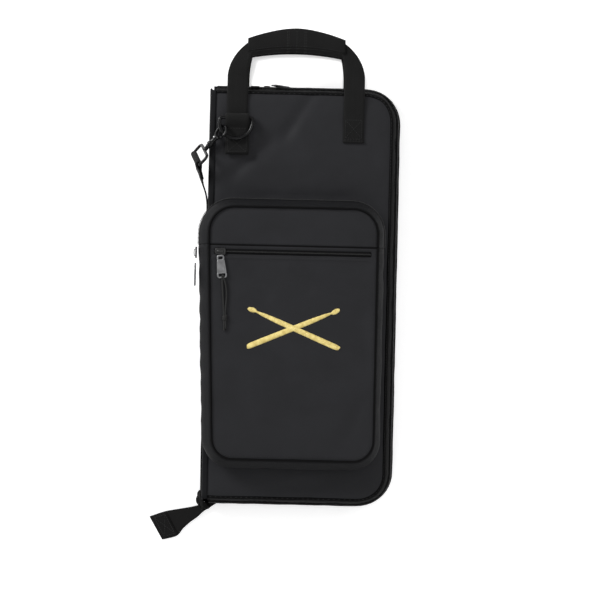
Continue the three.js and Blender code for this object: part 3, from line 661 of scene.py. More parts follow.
def main_zip():
    fine = refined(rim(), 2)
    for side, body, offset, z, tape in (
        ("rear", "rear_cover", -3.6, 24.4,
         [(-5.0, 21.4), (-4.0, 21.4), (-4.1, 23.4), (-4.5, 25.4), (-5.4, 25.4)]),
        ("front", "front_cover", -4.3, 27.2,
         [(-6.0, 26.3), (-5.1, 26.3), (-5.6, 28.4), (-6.3, 30.4), (-7.3, 30.4)]),
    ):
        dress(rim_sweep(f"{side}_zip_band", tape, "zip_tape", 0.15, 12), body, "zip_tape", f"{side}_zip_tape")
        heap = Heap()
        teeth(heap, fine, offset, z, 1 if side == "rear" else -1)
        dress(heap.made(f"{side}_zip_teeth", "coil"), body, "coil", f"{side}_zip_coil")


def spine():
    low, high = spans("spine_panel")
    ys = np.linspace(low[1], high[1], 90)
    thick = 1.1

    def half(name, profile, body_a, body_b, start, end):
        profile = np.array(profile, float)
        stations = []
        for y in ys:
            stations.append((np.array([0.0, y, 0.0]), np.array([1.0, 0, 0]), Z))
        outer = smooth_path(profile, 16)
        tangent = np.gradient(outer, axis=0)
        inward = np.stack([tangent[:, 1], -tangent[:, 0]], -1)
        inward /= np.linalg.norm(inward, axis=1)[:, None]
        inner = outer + inward * thick
        section = np.vstack([outer, inner[::-1]])
        verts, faces, uvs = sweep_data(stations, section)
        verts = np.array(verts)
        middle = np.exp(-((verts[:, 2] - 26) / 18) ** 2)
        verts[:, 0] += 0.35 * ripple(verts[:, 1], verts[:, 2], 40, 17) * middle
        shorter = 1 - 0.022 * np.clip((verts[:, 2] - 20) / 32, 0, 1)
        verts[:, 1] = stuffed(verts[:, 0], verts[:, 1])[1] * shorter
        low_end = ease((-verts[:, 1] - 225) / 17) * np.clip(1 - verts[:, 2] / 26, 0, 1)
        verts[:, 1] -= 3.8 * low_end  # closes the gap to the rim at the strap's corner
        # The spine cloth takes the darker wall nylon: painted shade on its curved face.
        obj = build(name, verts.tolist(), faces, "shaded_wall_nylon", uvs)
        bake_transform(obj)
        return obj

    x = low[0]
    rear = [(-104, 0.9), (-107.4, 0.5), (-109.6, 1.4), (x - 0.1, 3.6), (x - 0.35, 10), (x - 0.5, 18),
            (x - 0.5, 26)]
    front = [(x - 0.5, 25.6), (x - 0.5, 34), (x - 0.35, 42), (x - 0.1, 48.4), (-109.4, 51.2), (-107, 52.0),
             (-103.6, 52.2)]
    a = half("spine_cloth_rear", rear, "rear_cover", "spine", (-0.109, 0, 0.001), (-0.109, 0, 0.008))
    half("spine_cloth_front", front, "spine", "front_cover", (-0.109, 0, 0.044), (-0.109, 0, 0.051))
    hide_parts("spine_panel")
    low, high = spans("spine_foam")
    mid = (low + high) / 2
    path = [(np.array([mid[0], y, mid[2]]), np.array([1.0, 0, 0]), Z)
            for y in np.linspace(low[1], high[1], 60)]
    pad = sweep("spine_foam_pad", path, oval(high[0] - low[0], high[2] - low[2], 20, 6), "foam")
    dress(pad, "spine", "foam", "spine_foam")
    low, high = spans("spine_lining")
    width = high[2] - low[2]
    section = band_section(width, 0.8, 8)
    path = [(np.array([low[0] + 0.5 + 0.2 * math.sin(y / 9.0), y, (low[2] + high[2]) / 2]), Z,
             np.array([-1.0, 0, 0]))
            for y in np.linspace(low[1], high[1], 80)]
    dress(sweep("spine_inner_cloth", path, section, "lining"), "spine", "lining", "spine_lining")


def stick_pockets():
    for side, body, out in (("rear", "rear_cover", 1), ("front", "front_cover", -1)):
        low, high = spans(f"{side}_stick_pocket")
        base = low[2] if out > 0 else high[2]
        reach = high[0]
        pitch = 60.0
        height = high[2] - low[2] - 1.0

        def level(x, y, base=base, out=out, height=height):
            phase = (x + pitch * 1.5) % pitch - pitch / 2
            hump = np.sqrt(np.clip(1 - (phase / 24.5) ** 2, 0, 1)) ** 0.8
            sag = 1 - 0.12 * np.sin((y - low[1]) / (high[1] - low[1]) * math.pi)
            closed = np.clip((y - low[1]) / 9, 0, 1) ** 0.5
            wave = 0.25 * ripple(x, y, 26, 21)
            return base + out * (0.75 + (height - 0.6) * hump * sag * closed + wave * hump * closed)

        box = (-reach, reach, low[1], high[1])
        dress(panel(f"{side}_channels_cloth", box, (0, 0, 0, 0), level, 0.7 * out, "lining", 150, 4), body,
              "lining",
              f"{side}_stick_pocket")
        hem = Heap()
        y = high[1] + 0.2
        xs = np.linspace(-reach, reach, 150)
        zs = level(xs, np.full_like(xs, high[1])) - 0.35 * out
        line = [np.array([x, y, z]) for x, z in zip(xs, zs)]
        stations = framed(line, (0, 1, 0))
        hem.add(*sweep_data(stations, oval(1.7, 5, 8, 3)))
        dress(hem.made(f"{side}_channels_hem", "binding"), body, "binding")


covers()
bindings_and_gussets()
main_zip()
spine()
stick_pockets()

# ---- outer pocket -------------------------------------------------------------------------
POCKET_LEFT_LOW = -99.5
POCKET_RADIUS = {"low": 25.0, "top": 30.0}
BULGE = {"left": 1.1, "bottom": 1.0, "right": 0.65, "top": 0.8}
ZIP_LEVEL = 69.0


def arc_points(cx, cy, r, a, b, steps=12):
    return [(cx + r * math.cos(t), cy + r * math.sin(t), t) for t in np.linspace(a, b, steps)]


def pocket_path():
    """Face edge below the flap seam: left side down, bottom, right side up; (x, y, angle, bulge)."""
    x0, x1, y0, r = POCKET_LOW[0], POCKET_HIGH[0], POCKET_LOW[1], POCKET_RADIUS["low"]
    seam = FLAP_SEAM_Y - 0.03
    out = []
    for t in np.linspace(0, 1, 50)[:-1]:
        y = seam + (y0 + r - seam) * t
        out.append((x0 + (POCKET_LEFT_LOW - x0) * t, y, math.pi, BULGE["left"]))
    for x, y, a in arc_points(POCKET_LEFT_LOW + r, y0 + r, r, math.pi, 1.5 * math.pi):
        out.append((x, y, a, BULGE["left"] + (BULGE["bottom"] - BULGE["left"]) * (a / math.pi - 1) * 2))
    for x in np.linspace(POCKET_LEFT_LOW + r, x1 - r, 40)[1:-1]:
        out.append((x, y0, 1.5 * math.pi, BULGE["bottom"]))
    for x, y, a in arc_points(x1 - r, y0 + r, r, 1.5 * math.pi, 2 * math.pi):
        out.append((x, y, a, BULGE["bottom"] + (BULGE["right"] - BULGE["bottom"]) * (a / math.pi - 1.5) * 2))
    out += [(x1, y, 0.0, BULGE["right"]) for y in np.linspace(y0 + r, seam, 50)[1:]]
    return out


def flap_path():
    """Face edge above the flap seam: left side up, top, right side down."""
    x0, x1, y1, r = FLAP_LOW[0], FLAP_HIGH[0], FLAP_HIGH[1], POCKET_RADIUS["top"]
    seam = FLAP_SEAM_Y + 0.03
    out = [(x0, y, math.pi, BULGE["left"]) for y in np.linspace(seam, y1 - r, 8)[:-1]]
    for x, y, a in arc_points(x0 + r, y1 - r, r, math.pi, 0.5 * math.pi):
        out.append((x, y, a, BULGE["left"] + (BULGE["top"] - BULGE["left"]) * (1 - a / math.pi) * 2))
    out += [(x, y1, 0.5 * math.pi, BULGE["top"]) for x in np.linspace(x0 + r, x1 - r, 40)[1:-1]]
    for x, y, a in arc_points(x1 - r, y1 - r, r, 0.5 * math.pi, 0):
        out.append((x, y, a, BULGE["top"] + (BULGE["right"] - BULGE["top"]) * (0.5 - a / math.pi) * 2))
    out += [(x1, y, 0.0, BULGE["right"]) for y in np.linspace(y1 - r, seam, 8)[1:]]
    return out


def wall(name, path, profile, material, thickness, pucker=0.4, seed=31):
    """Side wall: profile of (reach, z) swept along the face edge, reach scaled by the local bulge."""
    n = len(profile)
    verts, uvs = [], []
    along = 0.0
    for i, (x, y, a, bulge) in enumerate(path):
        if i:
            along += math.hypot(x - path[i - 1][0], y - path[i - 1][1])
        out = np.array([math.cos(a), math.sin(a), 0.0])
        for side in (0, 1):
            order = profile if side == 0 else profile[::-1]
            for k, (reach, z) in enumerate(order):
                middle = math.sin(math.pi * (k + 0.5) / n)
                wave = pucker * middle * float(ripple(np.array(along), np.array(z * 0.8), 26, seed))
                p = np.array([x, y, z]) + out * (reach * bulge - side * thickness + wave)
                verts.append(p)
                uvs.append((along, z))
    faces = []
    m = 2 * n
    for i in range(len(path) - 1):
        for k in range(m):
            q = (k + 1) % m
            faces.append((i * m + k, (i + 1) * m + k, (i + 1) * m + q, i * m + q))
    faces.append(tuple(range(m)))
    faces.append(tuple(range((len(path) - 1) * m, len(path) * m))[::-1])
    return build(name, verts, faces, material, uvs)


def reach_at(z):
    """Offset of the pocket's wall from the face edge at a height."""
    return float(np.interp(z, [52.6, 58, 64, ZIP_LEVEL, 74, 80, 85, 88.5],
                           [4.0, 6.6, 9.2, 10.6, 9.6, 6.6, 3.2, 0.4]))


def face_level(x, y):
    lean = (POCKET_LEFT_LOW - POCKET_LOW[0]) * np.clip((POCKET_HIGH[1] - y) / 220.0, 0, 1)
    box = (POCKET_LOW[0], POCKET_HIGH[0], POCKET_LOW[1], FLAP_HIGH[1])
    depth = inside_depth(x - lean * 0.5, y, box, (25, 25, 30, 30))
    rise = 1 - np.exp(-np.clip(depth, 0, None) / 7)
    z = POCKET_Z - 0.9 + 1.1 * rise + 0.28 * ripple(x, y, 70, 41) * rise + 0.08 * ripple(x, y, 20, 42) * rise
    folds = crease(x, y, (70, -10), (80, -90), 9, 1.1) + crease(x, y, (78, -110), (52, -165), 9, 1.2)
    folds += crease(x, y, (-10, 36), (14, 4), 8, 0.8) + crease(x, y, (-60, 30), (-34, -4), 8, 0.6)
    folds += crease(x, y, (-80, -90), (-40, -165), 10, 0.6)
    z += folds * rise
    return z


def slip_valley(x, y):
    inside = 1 / (1 + np.exp(-(np.minimum(x - SLIP_LOW[0] - 0.5, SLIP_HIGH[0] - x - 0.5)) / 0.5))
    return -1.5 * inside * np.exp(-((y - SLIP_Y) / 2.9) ** 6)


def pocket():
    x0, x1, y0 = POCKET_LOW[0], POCKET_HIGH[0], POCKET_LOW[1]

    def lean(x, y):
        t = (x - x0) / (x1 - x0)
        return (POCKET_LEFT_LOW - x0) * np.clip((POCKET_HIGH[1] - y) / (POCKET_HIGH[1] - y0 - 25), 0,
                                                1) * (1 - t)

    def level(x, y):
        hem = 0.45 * np.exp(-((y - 43.2) / 1.1) ** 2) + 0.45 * np.exp(-((y - 57.2) / 0.8) ** 2)
        return face_level(x, y) + slip_valley(x, y) + hem

    dress(panel("pocket_cloth", (x0, x1, y0, POCKET_HIGH[1]), (25, 25, 0, 0), level, 1.3, "nylon", 90, 1.6,
                lean),
          "front_cover", "nylon", "pocket_face")
    dress(panel("flap_cloth", (x0, x1, FLAP_LOW[1], FLAP_HIGH[1]), (0, 0, 30, 30), face_level, 1.3, "nylon",
                80, 2),
          "pocket_flap", "nylon", "flap_face")
    low, high = spans("slip_pocket_liner")

    def lining(x, y):
        return high[2] + 0.2 * ripple(x, y, 40, 44)

    dress(panel("slip_lining", (low[0], high[0], low[1], high[1]), (8, 8, 0, 0), lining, 0.5, "lining", 40,
                6),
          "front_cover", "lining", "slip_pocket_liner")

    upper = [(reach_at(z), z) for z in np.linspace(71.6, 88.6, 10)]
    lower = [(reach_at(z), z) for z in np.linspace(52.6, 66.2, 8)]
    whole = [(reach_at(z), z) for z in np.linspace(52.6, 88.6, 16)]
    # The pocket's walls take the darker wall nylon: painted shade.
    dress(wall("pocket_side_wall", pocket_path(), whole, "shaded_wall_nylon", 1.2, 0.6), "front_cover", "nylon",
          "pocket_gusset")
    dress(wall("pocket_arch_wall", flap_path(), lower, "shaded_wall_nylon", 1.2), "front_cover", "nylon",
          "pocket_arch_gusset")
    dress(wall("flap_wall", flap_path(), upper, "shaded_wall_nylon", 1.2), "pocket_flap", "nylon", "flap_gusset")

    band = [(10.3, 66.4), (10.5, 68.0), (10.55, ZIP_LEVEL), (10.4, 70.6)]
    dress(wall("pocket_zip_tape", flap_path(), band, "zip_tape", 1.0, 0.1), "front_cover", "zip_tape")
    heap = Heap()
    stations = []
    for x, y, a, bulge in flap_path():
        out = np.array([math.cos(a), math.sin(a), 0.0])
        stations.append((np.array([x, y, 0.0]) + out * (10.6 * bulge), out))
    fine = refined(stations, 2)
    teeth(heap, fine, 0.1, ZIP_LEVEL - 0.8, 1)
    teeth(heap, fine, 0.1, ZIP_LEVEL + 0.8, -1)
    dress(heap.made("pocket_zip_teeth", "coil"), "front_cover", "coil", "pocket_zip")

    pipe = oval(2.5, 2.2, 10, 2)
    for name, path, body, node in (
        ("pocket_edge_piping", pocket_path(), "front_cover", "pocket_piping"),
        ("flap_edge_piping", flap_path(), "pocket_flap", "flap_piping"),
    ):
        placed = []
        for x, y, a, _ in path:
            out = np.array([math.cos(a), math.sin(a), 0.0])
            spot = np.array([x, y, POCKET_Z + 0.35]) - out * 1.2
            spot += out * 0.15 * float(ripple(np.array(x), np.array(y), 24, 51))
            placed.append((spot, out, Z))
        dress(sweep(name, placed, pipe, "binding"), body, "binding", node)
        seam = Heap()
        line = [p - out * 3.4 + Z * (float(face_level(p[0] - out[0] * 3.4, p[1] - out[1] * 3.4)) - p[2]
                                     + 0.05)
                for p, out, _ in placed]
        stitch_line(seam, line, Z, 3.0, 2.2, 0.5, 0.12)
        dress(seam.made(name + "_stitches", "thread_black"), body, "binding")

    strip = [(POCKET_LOW[0] + 1 + (POCKET_HIGH[0] - POCKET_LOW[0] - 2) * t) for t in np.linspace(0, 1, 90)]
    stations = [(np.array([x, FLAP_SEAM_Y, float(face_level(x, FLAP_SEAM_Y)) + 0.15]),
                 np.array([0, 1.0, 0]), Z)
                for x in strip]
    fold = sweep("flap_fold_strip", stations, band_section(1.8, 0.9, 6), "binding")
    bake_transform(fold)


def slip_zip():
    z = SLIP_HIGH[2]
    xs = np.linspace(SLIP_LOW[0] + 0.6, SLIP_HIGH[0] - 0.6, 90)
    tapes, coils, seams = Heap(), Heap(), Heap()
    for side in (-1, 1):
        line = [(np.array([x, SLIP_Y + side * 1.75, z - 0.25]), np.array([0, 1.0, 0]), Z) for x in xs]
        tapes.add(*sweep_data(line, band_section(2.1, 0.6, 4)))
        count = int((xs[-1] - xs[0]) / 1.25)
        for i in range(count):
            x = xs[0] + 1.25 * (i + (0.25 if side > 0 else 0.75))
            bow = [np.array([x, SLIP_Y + side * t, z + h])
                   for t, h in ((1.1, -0.1), (0.9, 0.5), (0.1, 0.75), (-0.35, 0.2))]
            coils.add(*sweep_data([(p, np.array([1.0, 0, 0]), Z) for p in bow], oval(0.85, 0.7, 5, 2)))
        for y in (SLIP_Y + side * 7.4, SLIP_Y + side * 4.2):
            path = [np.array([x, y, float(face_level(x, y)) + (0.45 if abs(y - SLIP_Y) > 6 else 0.1)])
                    for x in np.linspace(SLIP_LOW[0], SLIP_HIGH[0], 60)]
            if y < FLAP_SEAM_Y - 1:
                stitch_line(seams, path, Z, 2.8, 2.1, 0.5, 0.12)
    dress(tapes.made("slip_zip_tapes", "zip_tape"), "front_cover", "zip_tape", "slip_zip")
    dress(coils.made("slip_zip_teeth", "coil"), "front_cover", "coil")
    dress(seams.made("slip_zip_stitches", "thread_black"), "front_cover", "binding")


pocket()
slip_zip()

# ---- badge --------------------------------------------------------------------------------
BADGE_LOW, BADGE_HIGH = spans("badge")


def badge():
    """Two crossed drumsticks in satin stitch: each row of thread lies across a stick."""
    cx, cy = (BADGE_LOW[0] + BADGE_HIGH[0]) / 2, (BADGE_LOW[1] + BADGE_HIGH[1]) / 2
    half = 57.0
    heap = Heap()
    profile = [(-57, 2.2), (-55, 3.0), (-52, 3.4), (-40, 3.4), (20, 3.0), (38, 2.2), (45, 1.3), (46.5, 1.3),
               (49, 2.6), (52, 3.1), (55, 2.4), (57, 0.9)]
    reach = [p[0] for p in profile]
    width = [p[1] for p in profile]
    for layer, angle in enumerate((0.4, math.pi - 0.4)):
        along = np.array([math.cos(angle), math.sin(angle), 0.0])
        across = np.array([-along[1], along[0], 0.0])
        slant = unit(across + 0.35 * along)
        rng = np.random.default_rng(70 + layer)
        for s in np.arange(-half, half, 0.62):
            w = float(np.interp(s, reach, width)) + rng.uniform(-0.1, 0.1)
            mid = np.array([cx, cy, 0]) + along * s
            line = []
            for t in (-1, -0.6, 0, 0.6, 1):
                p = mid + slant * (w * t)
                base = float(face_level(p[0], p[1]))
                hump = 0.75 * (1 - t * t) ** 0.5 + layer * 0.5 * math.exp(-(s / 9) ** 2)
                line.append(p + Z * (base + hump - 0.05))
            heap.add(*sweep_data([(p, along, Z) for p in line], oval(0.72, 0.5, 6, 2)))
    dress(heap.made("badge_threads", "gold_thread"), "front_cover", "gold_thread", "badge")


badge()

# ---- webbing: handles ---------------------------------------------------------------------
HANDLE_LOW, HANDLE_HIGH = spans("front_handle_loop")
WEB = 1.7
HANDLE_WIDTH = 24.0
LEG = {"left": (HANDLE_LOW[0], HANDLE_LOW[0] + 24), "right": (HANDLE_HIGH[0] - 24, HANDLE_HIGH[0])}
FOOT = {"left": 171.0, "right": 181.0}


def quad(a, b, c, t):
    a, b, c = (np.array(v, float) for v in (a, b, c))
    return (1 - t) ** 2 * a + 2 * t * (1 - t) * b + t * t * c


def leg_edges(side, foot):
    """Matching outer and inner edge points of one leg, from its sewn foot into the grip's end."""
    x_left, x_right = LEG[side]
    outer_x, inner_x = (x_left, x_right) if side == "left" else (x_right, x_left)
    sign = 1 if side == "left" else -1
    rows = [((outer_x, y), (inner_x, y)) for y in np.linspace(foot, 256, 34)]
    for t in np.linspace(0, 1, 16)[1:]:
        out = quad((outer_x, 256), (outer_x + sign * 2, 280), (outer_x + sign * 26, 297), t)
        inn = quad((inner_x, 256), (inner_x, 272), (inner_x + sign * 4, 287), t)
        rows.append((tuple(out), tuple(inn)))
    return rows


def box_cross(heap, box, z, normal=Z, pitch=2.6):
    """Stitched rectangle with a cross in it."""
    x0, x1, y0, y1 = box
    corners = [(x0, y0), (x1, y0), (x1, y1), (x0, y1), (x0, y0)]
    for (a, b), (c, d) in zip(corners, corners[1:]):
        stitch_line(heap, [np.array([a, b, z]), np.array([c, d, z])], normal, pitch, pitch * 0.75, 0.7, 0.2)
    stitch_line(heap, [np.array([x0, y0, z]), np.array([x1, y1, z])], normal, pitch, pitch * 0.75, 0.7, 0.2)
    stitch_line(heap, [np.array([x0, y1, z]), np.array([x1, y0, z])], normal, pitch, pitch * 0.75, 0.7, 0.2)


def handle(side_name, low_z, foot_shift, body, cover, loop, hinge_y, thin):
    """Both legs and the grip of one carrying handle, lying flat at low_z."""
    level = low_z + WEB / 2
    for side in ("left", "right"):
        foot = foot_shift if foot_shift is not None else FOOT[side]
        rows = leg_edges(side, foot)
        stations = []
        for i, (out, inn) in enumerate(rows):
            out, inn = np.array([*out, 0.0]), np.array([*inn, 0.0])
            turn = max(0.0, (i - 33) / 15)
            lift = 1.2 * math.sin(math.pi * min(1, i / 33)) * (0.5 if hinge_y < 230 else 0.25)
            mid = (out + inn) / 2 + Z * (level + lift + turn * 0.9)
            across = (out - inn) / HANDLE_WIDTH
            if side == "left":
                across = -across
            tilt = across + Z * 0.12 * math.sin(turn * 2.4)
            stations.append((mid, tilt, Z))
        obj = sweep(f"{side_name}_handle_leg_{side}", stations, band_section(HANDLE_WIDTH, WEB, 10),
                    "webbing")
        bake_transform(obj)
        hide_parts(f"{side_name}_handle_end_{side}")
        if side_name == "front" and side == "right":
            seam = Heap()
            x0, x1 = LEG[side]
            box_cross(seam, (x0 + 2.5, x1 - 2.5, foot + 5, foot + 26), level + WEB / 2 + 0.5)
            for y in (foot + 1.6, foot + 3.4):
                stitch_line(seam, [np.array([x0 + 1, y, level + 1.6]), np.array([x1 - 1, y, level + 1.6])], Z)
            dress(seam.made("right_leg_stitches", "thread_black"), cover, "binding")
            hem = [(np.array([x, foot + 1.0, level + 0.3]), np.array([0, 1.0, 0]), Z)
                   for x in np.linspace(x0, x1, 12)]
            dress(sweep("right_leg_hem", hem, oval(3.4, 2.6, 10, 2.6), "webbing"), cover, "webbing")
    x0, x1 = LEG["left"][1] - 1.0, LEG["right"][0] + 0.5
    grip = []
    for t in np.linspace(0, 1, 60):
        x = x0 + (x1 - x0) * t
        u = 2 * t - 1
        top = 299.5 + 12.6 * (1 - abs(u) ** 1.7)
        low = 283.0 + 5.6 * (1 - u * u)
        bulge = 1 + 0.25 * math.exp(-((t - 0.5) / 0.14) ** 2)
        mid = np.array([x, (top + low) / 2, low_z + 2.1])
        flare = 0.2 * math.sin(t * 23)
        grip.append((mid + Z * flare, np.array([0, 1.0, 0]) * (top - low) / HANDLE_WIDTH, Z * thin * bulge))
    dress(sweep(f"{side_name}_handle_grip", grip, oval(HANDLE_WIDTH, 4.6, 20, 3.6), "webbing"), body,
          "webbing", loop)
    seam = Heap()
    middle = (x0 + x1) / 2
    for dx in (-11, -9.2, 9.2, 11, 0.0):
        top = grip[int(30 + dx * 0.5)][0][1]
        ends = [np.array([middle + dx, top + reach, low_z + 4.7]) for reach in (-10.5, 10.5)]
        stitch_line(seam, ends, Z)
    line = [p + np.array([0, -s[1] * 9.4, 2.35]) for p, s, _ in grip[2:-2]]
    stitch_line(seam, line, Z, 3.0, 2.2, 0.6, 0.1)
    dress(seam.made(f"{side_name}_grip_stitches", "thread_black"), body, "binding")


handle("front", HANDLE_LOW[2], None, "front_handle", "front_cover", "front_handle_loop", 220.5, 1.0)
REAR_HANDLE_LOW, _ = spans("rear_handle_loop")
handle("rear", REAR_HANDLE_LOW[2] + 0.05, 171.0, "rear_handle", "rear_cover", "rear_handle_loop", 247.5, 0.8)

# ---- D-ring and its tab -------------------------------------------------------------------
BAR = np.array(JOINT["d_ring_lift"]["pos_m"]) / MM
TAB_LOW, TAB_HIGH = spans("d_ring_tab")
D_LOW, D_HIGH = spans("d_ring")
D_WIRE = 2.1
D_HALF = (D_HIGH[0] - D_LOW[0]) / 2 - D_WIRE
D_TILT = math.radians(6.5)


def d_ring():
    mid_x = (TAB_LOW[0] + TAB_HIGH[0]) / 2
    low = TAB_LOW[2] + WEB / 2
    radius = BAR[2] - low
    path = [(mid_x, y, low) for y in np.linspace(TAB_LOW[1], BAR[1], 16)]
    path += [(mid_x, BAR[1] + radius * math.sin(a), BAR[2] - radius * math.cos(a))
             for a in np.linspace(0, math.pi, 14)[1:]]
    path += [(mid_x, y, z) for y, z in ((204, 62.9), (200.5, 61.4), (197.5, 59.6), (195, 58.2),
                                        (190, 57.7), (182, 57.5),
                                        (173, 57.5), (164.6, 57.3))]
    path = smooth_path(path, 90)
    across = np.array([1.0, 0, 0])
    stations = [(p, across, unit(np.cross(across, tangent))) for p,
                tangent in zip(path, np.gradient(path, axis=0))]
    width = TAB_HIGH[0] - TAB_LOW[0]
    dress(sweep("d_ring_webbing_tab", stations, band_section(width, WEB, 10), "webbing"), "front_cover",
          "webbing",
          "d_ring_tab")
    seam = Heap()
    box_cross(seam, (TAB_LOW[0] + 3, TAB_HIGH[0] - 3, TAB_LOW[1] + 3, TAB_LOW[1] + 22), 58.35)
    stitch_line(seam, [np.array([TAB_LOW[0] + 2, 194, 59.1]), np.array([TAB_HIGH[0] - 2, 194, 59.1])], Z)
    dress(seam.made("tab_stitches", "thread_black"), "front_cover", "binding")

    corner = 4.0
    depth = 25.0
    bow_y = -(depth - D_HALF)
    flat = [(D_HALF - corner + corner * math.cos(a), -corner + corner * math.sin(a), a)
            for a in np.linspace(math.pi / 2, 0, 8)]
    flat += [(D_HALF * math.cos(a), bow_y + D_HALF * math.sin(a), a) for a in np.linspace(0, -math.pi, 50)]
    flat += [(-D_HALF + corner + corner * math.cos(a), -corner + corner * math.sin(a), a)
             for a in np.linspace(math.pi, math.pi / 2, 8)]
    turn = np.array(Matrix.Rotation(D_TILT, 3, Vector((-1, 0, 0))))
    up = turn @ Z
    stations = [(BAR + turn @ np.array([x, y, 0.0]), turn @ np.array([math.cos(a), math.sin(a), 0.0]), up)
                for x, y, a in flat]
    dress(sweep("d_ring_wire", stations, oval(2 * D_WIRE, 2 * D_WIRE, 14, 2), "black_metal", True), "d_ring",
          "black_metal", "d_ring")


d_ring()

# ---- snap hook ----------------------------------------------------------------------------
HOOK_CENTRE = np.array(JOINT["hook_swing"]["pos_m"]) / MM
HOOK_NORMAL = unit(JOINT["hook_swing"]["axis"])
HOOK_AXIS = unit(JOINT["hook_swivel"]["axis"])
HOOK_SIDE = unit(np.cross(HOOK_NORMAL, HOOK_AXIS))
EYE_BAR = unit([0.241, -0.452, 0.859])
CLAW_RADIUS = 7.9
EYE_NEAR, EYE_FAR, EYE_HALF, EYE_WIRE = 29.0, 43.0, 18.5, 1.75


def on_hook(d, w=0.0, n=0.0):
    return HOOK_CENTRE + HOOK_AXIS * d + HOOK_SIDE * w + HOOK_NORMAL * n


def turned(heap, profile, axis_from=HOOK_CENTRE, axis=HOOK_AXIS, sides=24):
    """Solid of revolution: profile of (distance along, radius)."""
    side = unit(np.cross(axis, EYE_BAR))
    up = unit(np.cross(axis, side))
    stations = [(axis_from + axis * d, side * r, up * r) for d, r in profile]
    heap.add(*sweep_data(stations, oval(2, 2, sides, 2)))


def claw(heap, start, end, wires, steps=40):
    stations = []
    for i in range(steps):
        t = i / (steps - 1)
        a = math.radians(start + (end - start) * t)
        radius = float(np.interp(t, [w[0] for w in wires], [w[1] for w in wires]))
        out = HOOK_AXIS * math.cos(a) + HOOK_SIDE * math.sin(a)
        stations.append((HOOK_CENTRE + out * CLAW_RADIUS, out * radius, HOOK_NORMAL * radius))
    heap.add(*sweep_data(stations, oval(2, 2, 14, 2)))


def snap_hook():
    body = Heap()
    claw(body, 80, 382, [(0, 1.2), (0.03, 1.7), (0.9, 1.85), (1, 2.2)], 56)
    turned(body, [(5.8, 1.6), (6.8, 2.6), (9, 2.9), (12, 2.5), (14.5, 2.6), (17, 3.2),
                  (17.4, 3.85), (18, 3.95),
                  (20, 3.95), (20.5, 3.6)])
    dress(body.made("hook_casting", "black_metal"), "snap_hook", "black_metal", "hook_body")
    rivet = Heap()
    turned(rivet, [(-1.0, 0.6), (-0.9, 1.0), (0.6, 1.15), (0.95, 0.9), (1.1, 0.4)], on_hook(9.5, 0, 2.6),
           HOOK_NORMAL)
    dress(rivet.made("hook_rivet", "steel"), "snap_hook", "black_metal")
    gate = Heap()
    claw(gate, 29, 71, [(0, 1.5), (0.5, 1.3), (1, 1.45)], 16)
    line = smooth_path([on_hook(5.6, 5.4, 0.6), on_hook(6.1, 6.2, 1.8), on_hook(6.8, 7, 3.4)], 8)
    gate.add(*sweep_data(framed(line, HOOK_AXIS), oval(2.4, 2.4, 10, 2)))
    dress(gate.made("hook_spring_gate", "black_metal"), "hook_gate", "black_metal", "hook_gate")
    eye = Heap()
    turned(eye, [(20.9, 2.6), (21.4, 3.0), (23, 3.0), (24, 2.4), (27, 2.5), (29.5, 2.9)])
    r = 4.0
    plane = [(EYE_FAR - r, EYE_HALF - r), (EYE_FAR - r, -EYE_HALF + r), (EYE_NEAR + r, -EYE_HALF + r),
             (EYE_NEAR + r, EYE_HALF - r)]
    loop = []
    for k, (d, b) in enumerate(plane):
        for a in np.linspace(0, math.pi / 2, 7):
            q = math.pi / 2 - k * math.pi / 2 - a
            out = HOOK_AXIS * math.cos(q) + EYE_BAR * math.sin(q)
            loop.append((HOOK_CENTRE + HOOK_AXIS * d + EYE_BAR * b + out * r, out,
                         unit(np.cross(HOOK_AXIS, EYE_BAR))))
    eye.add(*sweep_data(loop, oval(2 * EYE_WIRE, 2 * EYE_WIRE, 12, 2), True))
    dress(eye.made("hook_swivel_eye", "black_metal"), "hook_eye", "black_metal", "hook_eye")


snap_hook()

# ---- shoulder strap -----------------------------------------------------------------------
RUN_LOW, RUN_HIGH = spans("strap_run")
STRAP = 32.0


def band(name, points, widths, material="strap_webbing", width=STRAP, samples=60):
    """Webbing through (point, across) pairs; widths scale the section at each pair."""
    data = np.array([list(p) + list(unit(a)) + [w] for (p, a), w in zip(points, widths)])
    data = smooth_path(data, samples)
    tangents = np.gradient(data[:, :3], axis=0)
    stations = []
    for row, tangent in zip(data, tangents):
        along = unit(tangent)
        across = row[3:6] - along * np.dot(row[3:6], along)
        across = unit(across)
        stations.append((row[:3], across * row[6], unit(np.cross(across, along))))
    return sweep(name, stations, band_section(width, WEB, 10), material)


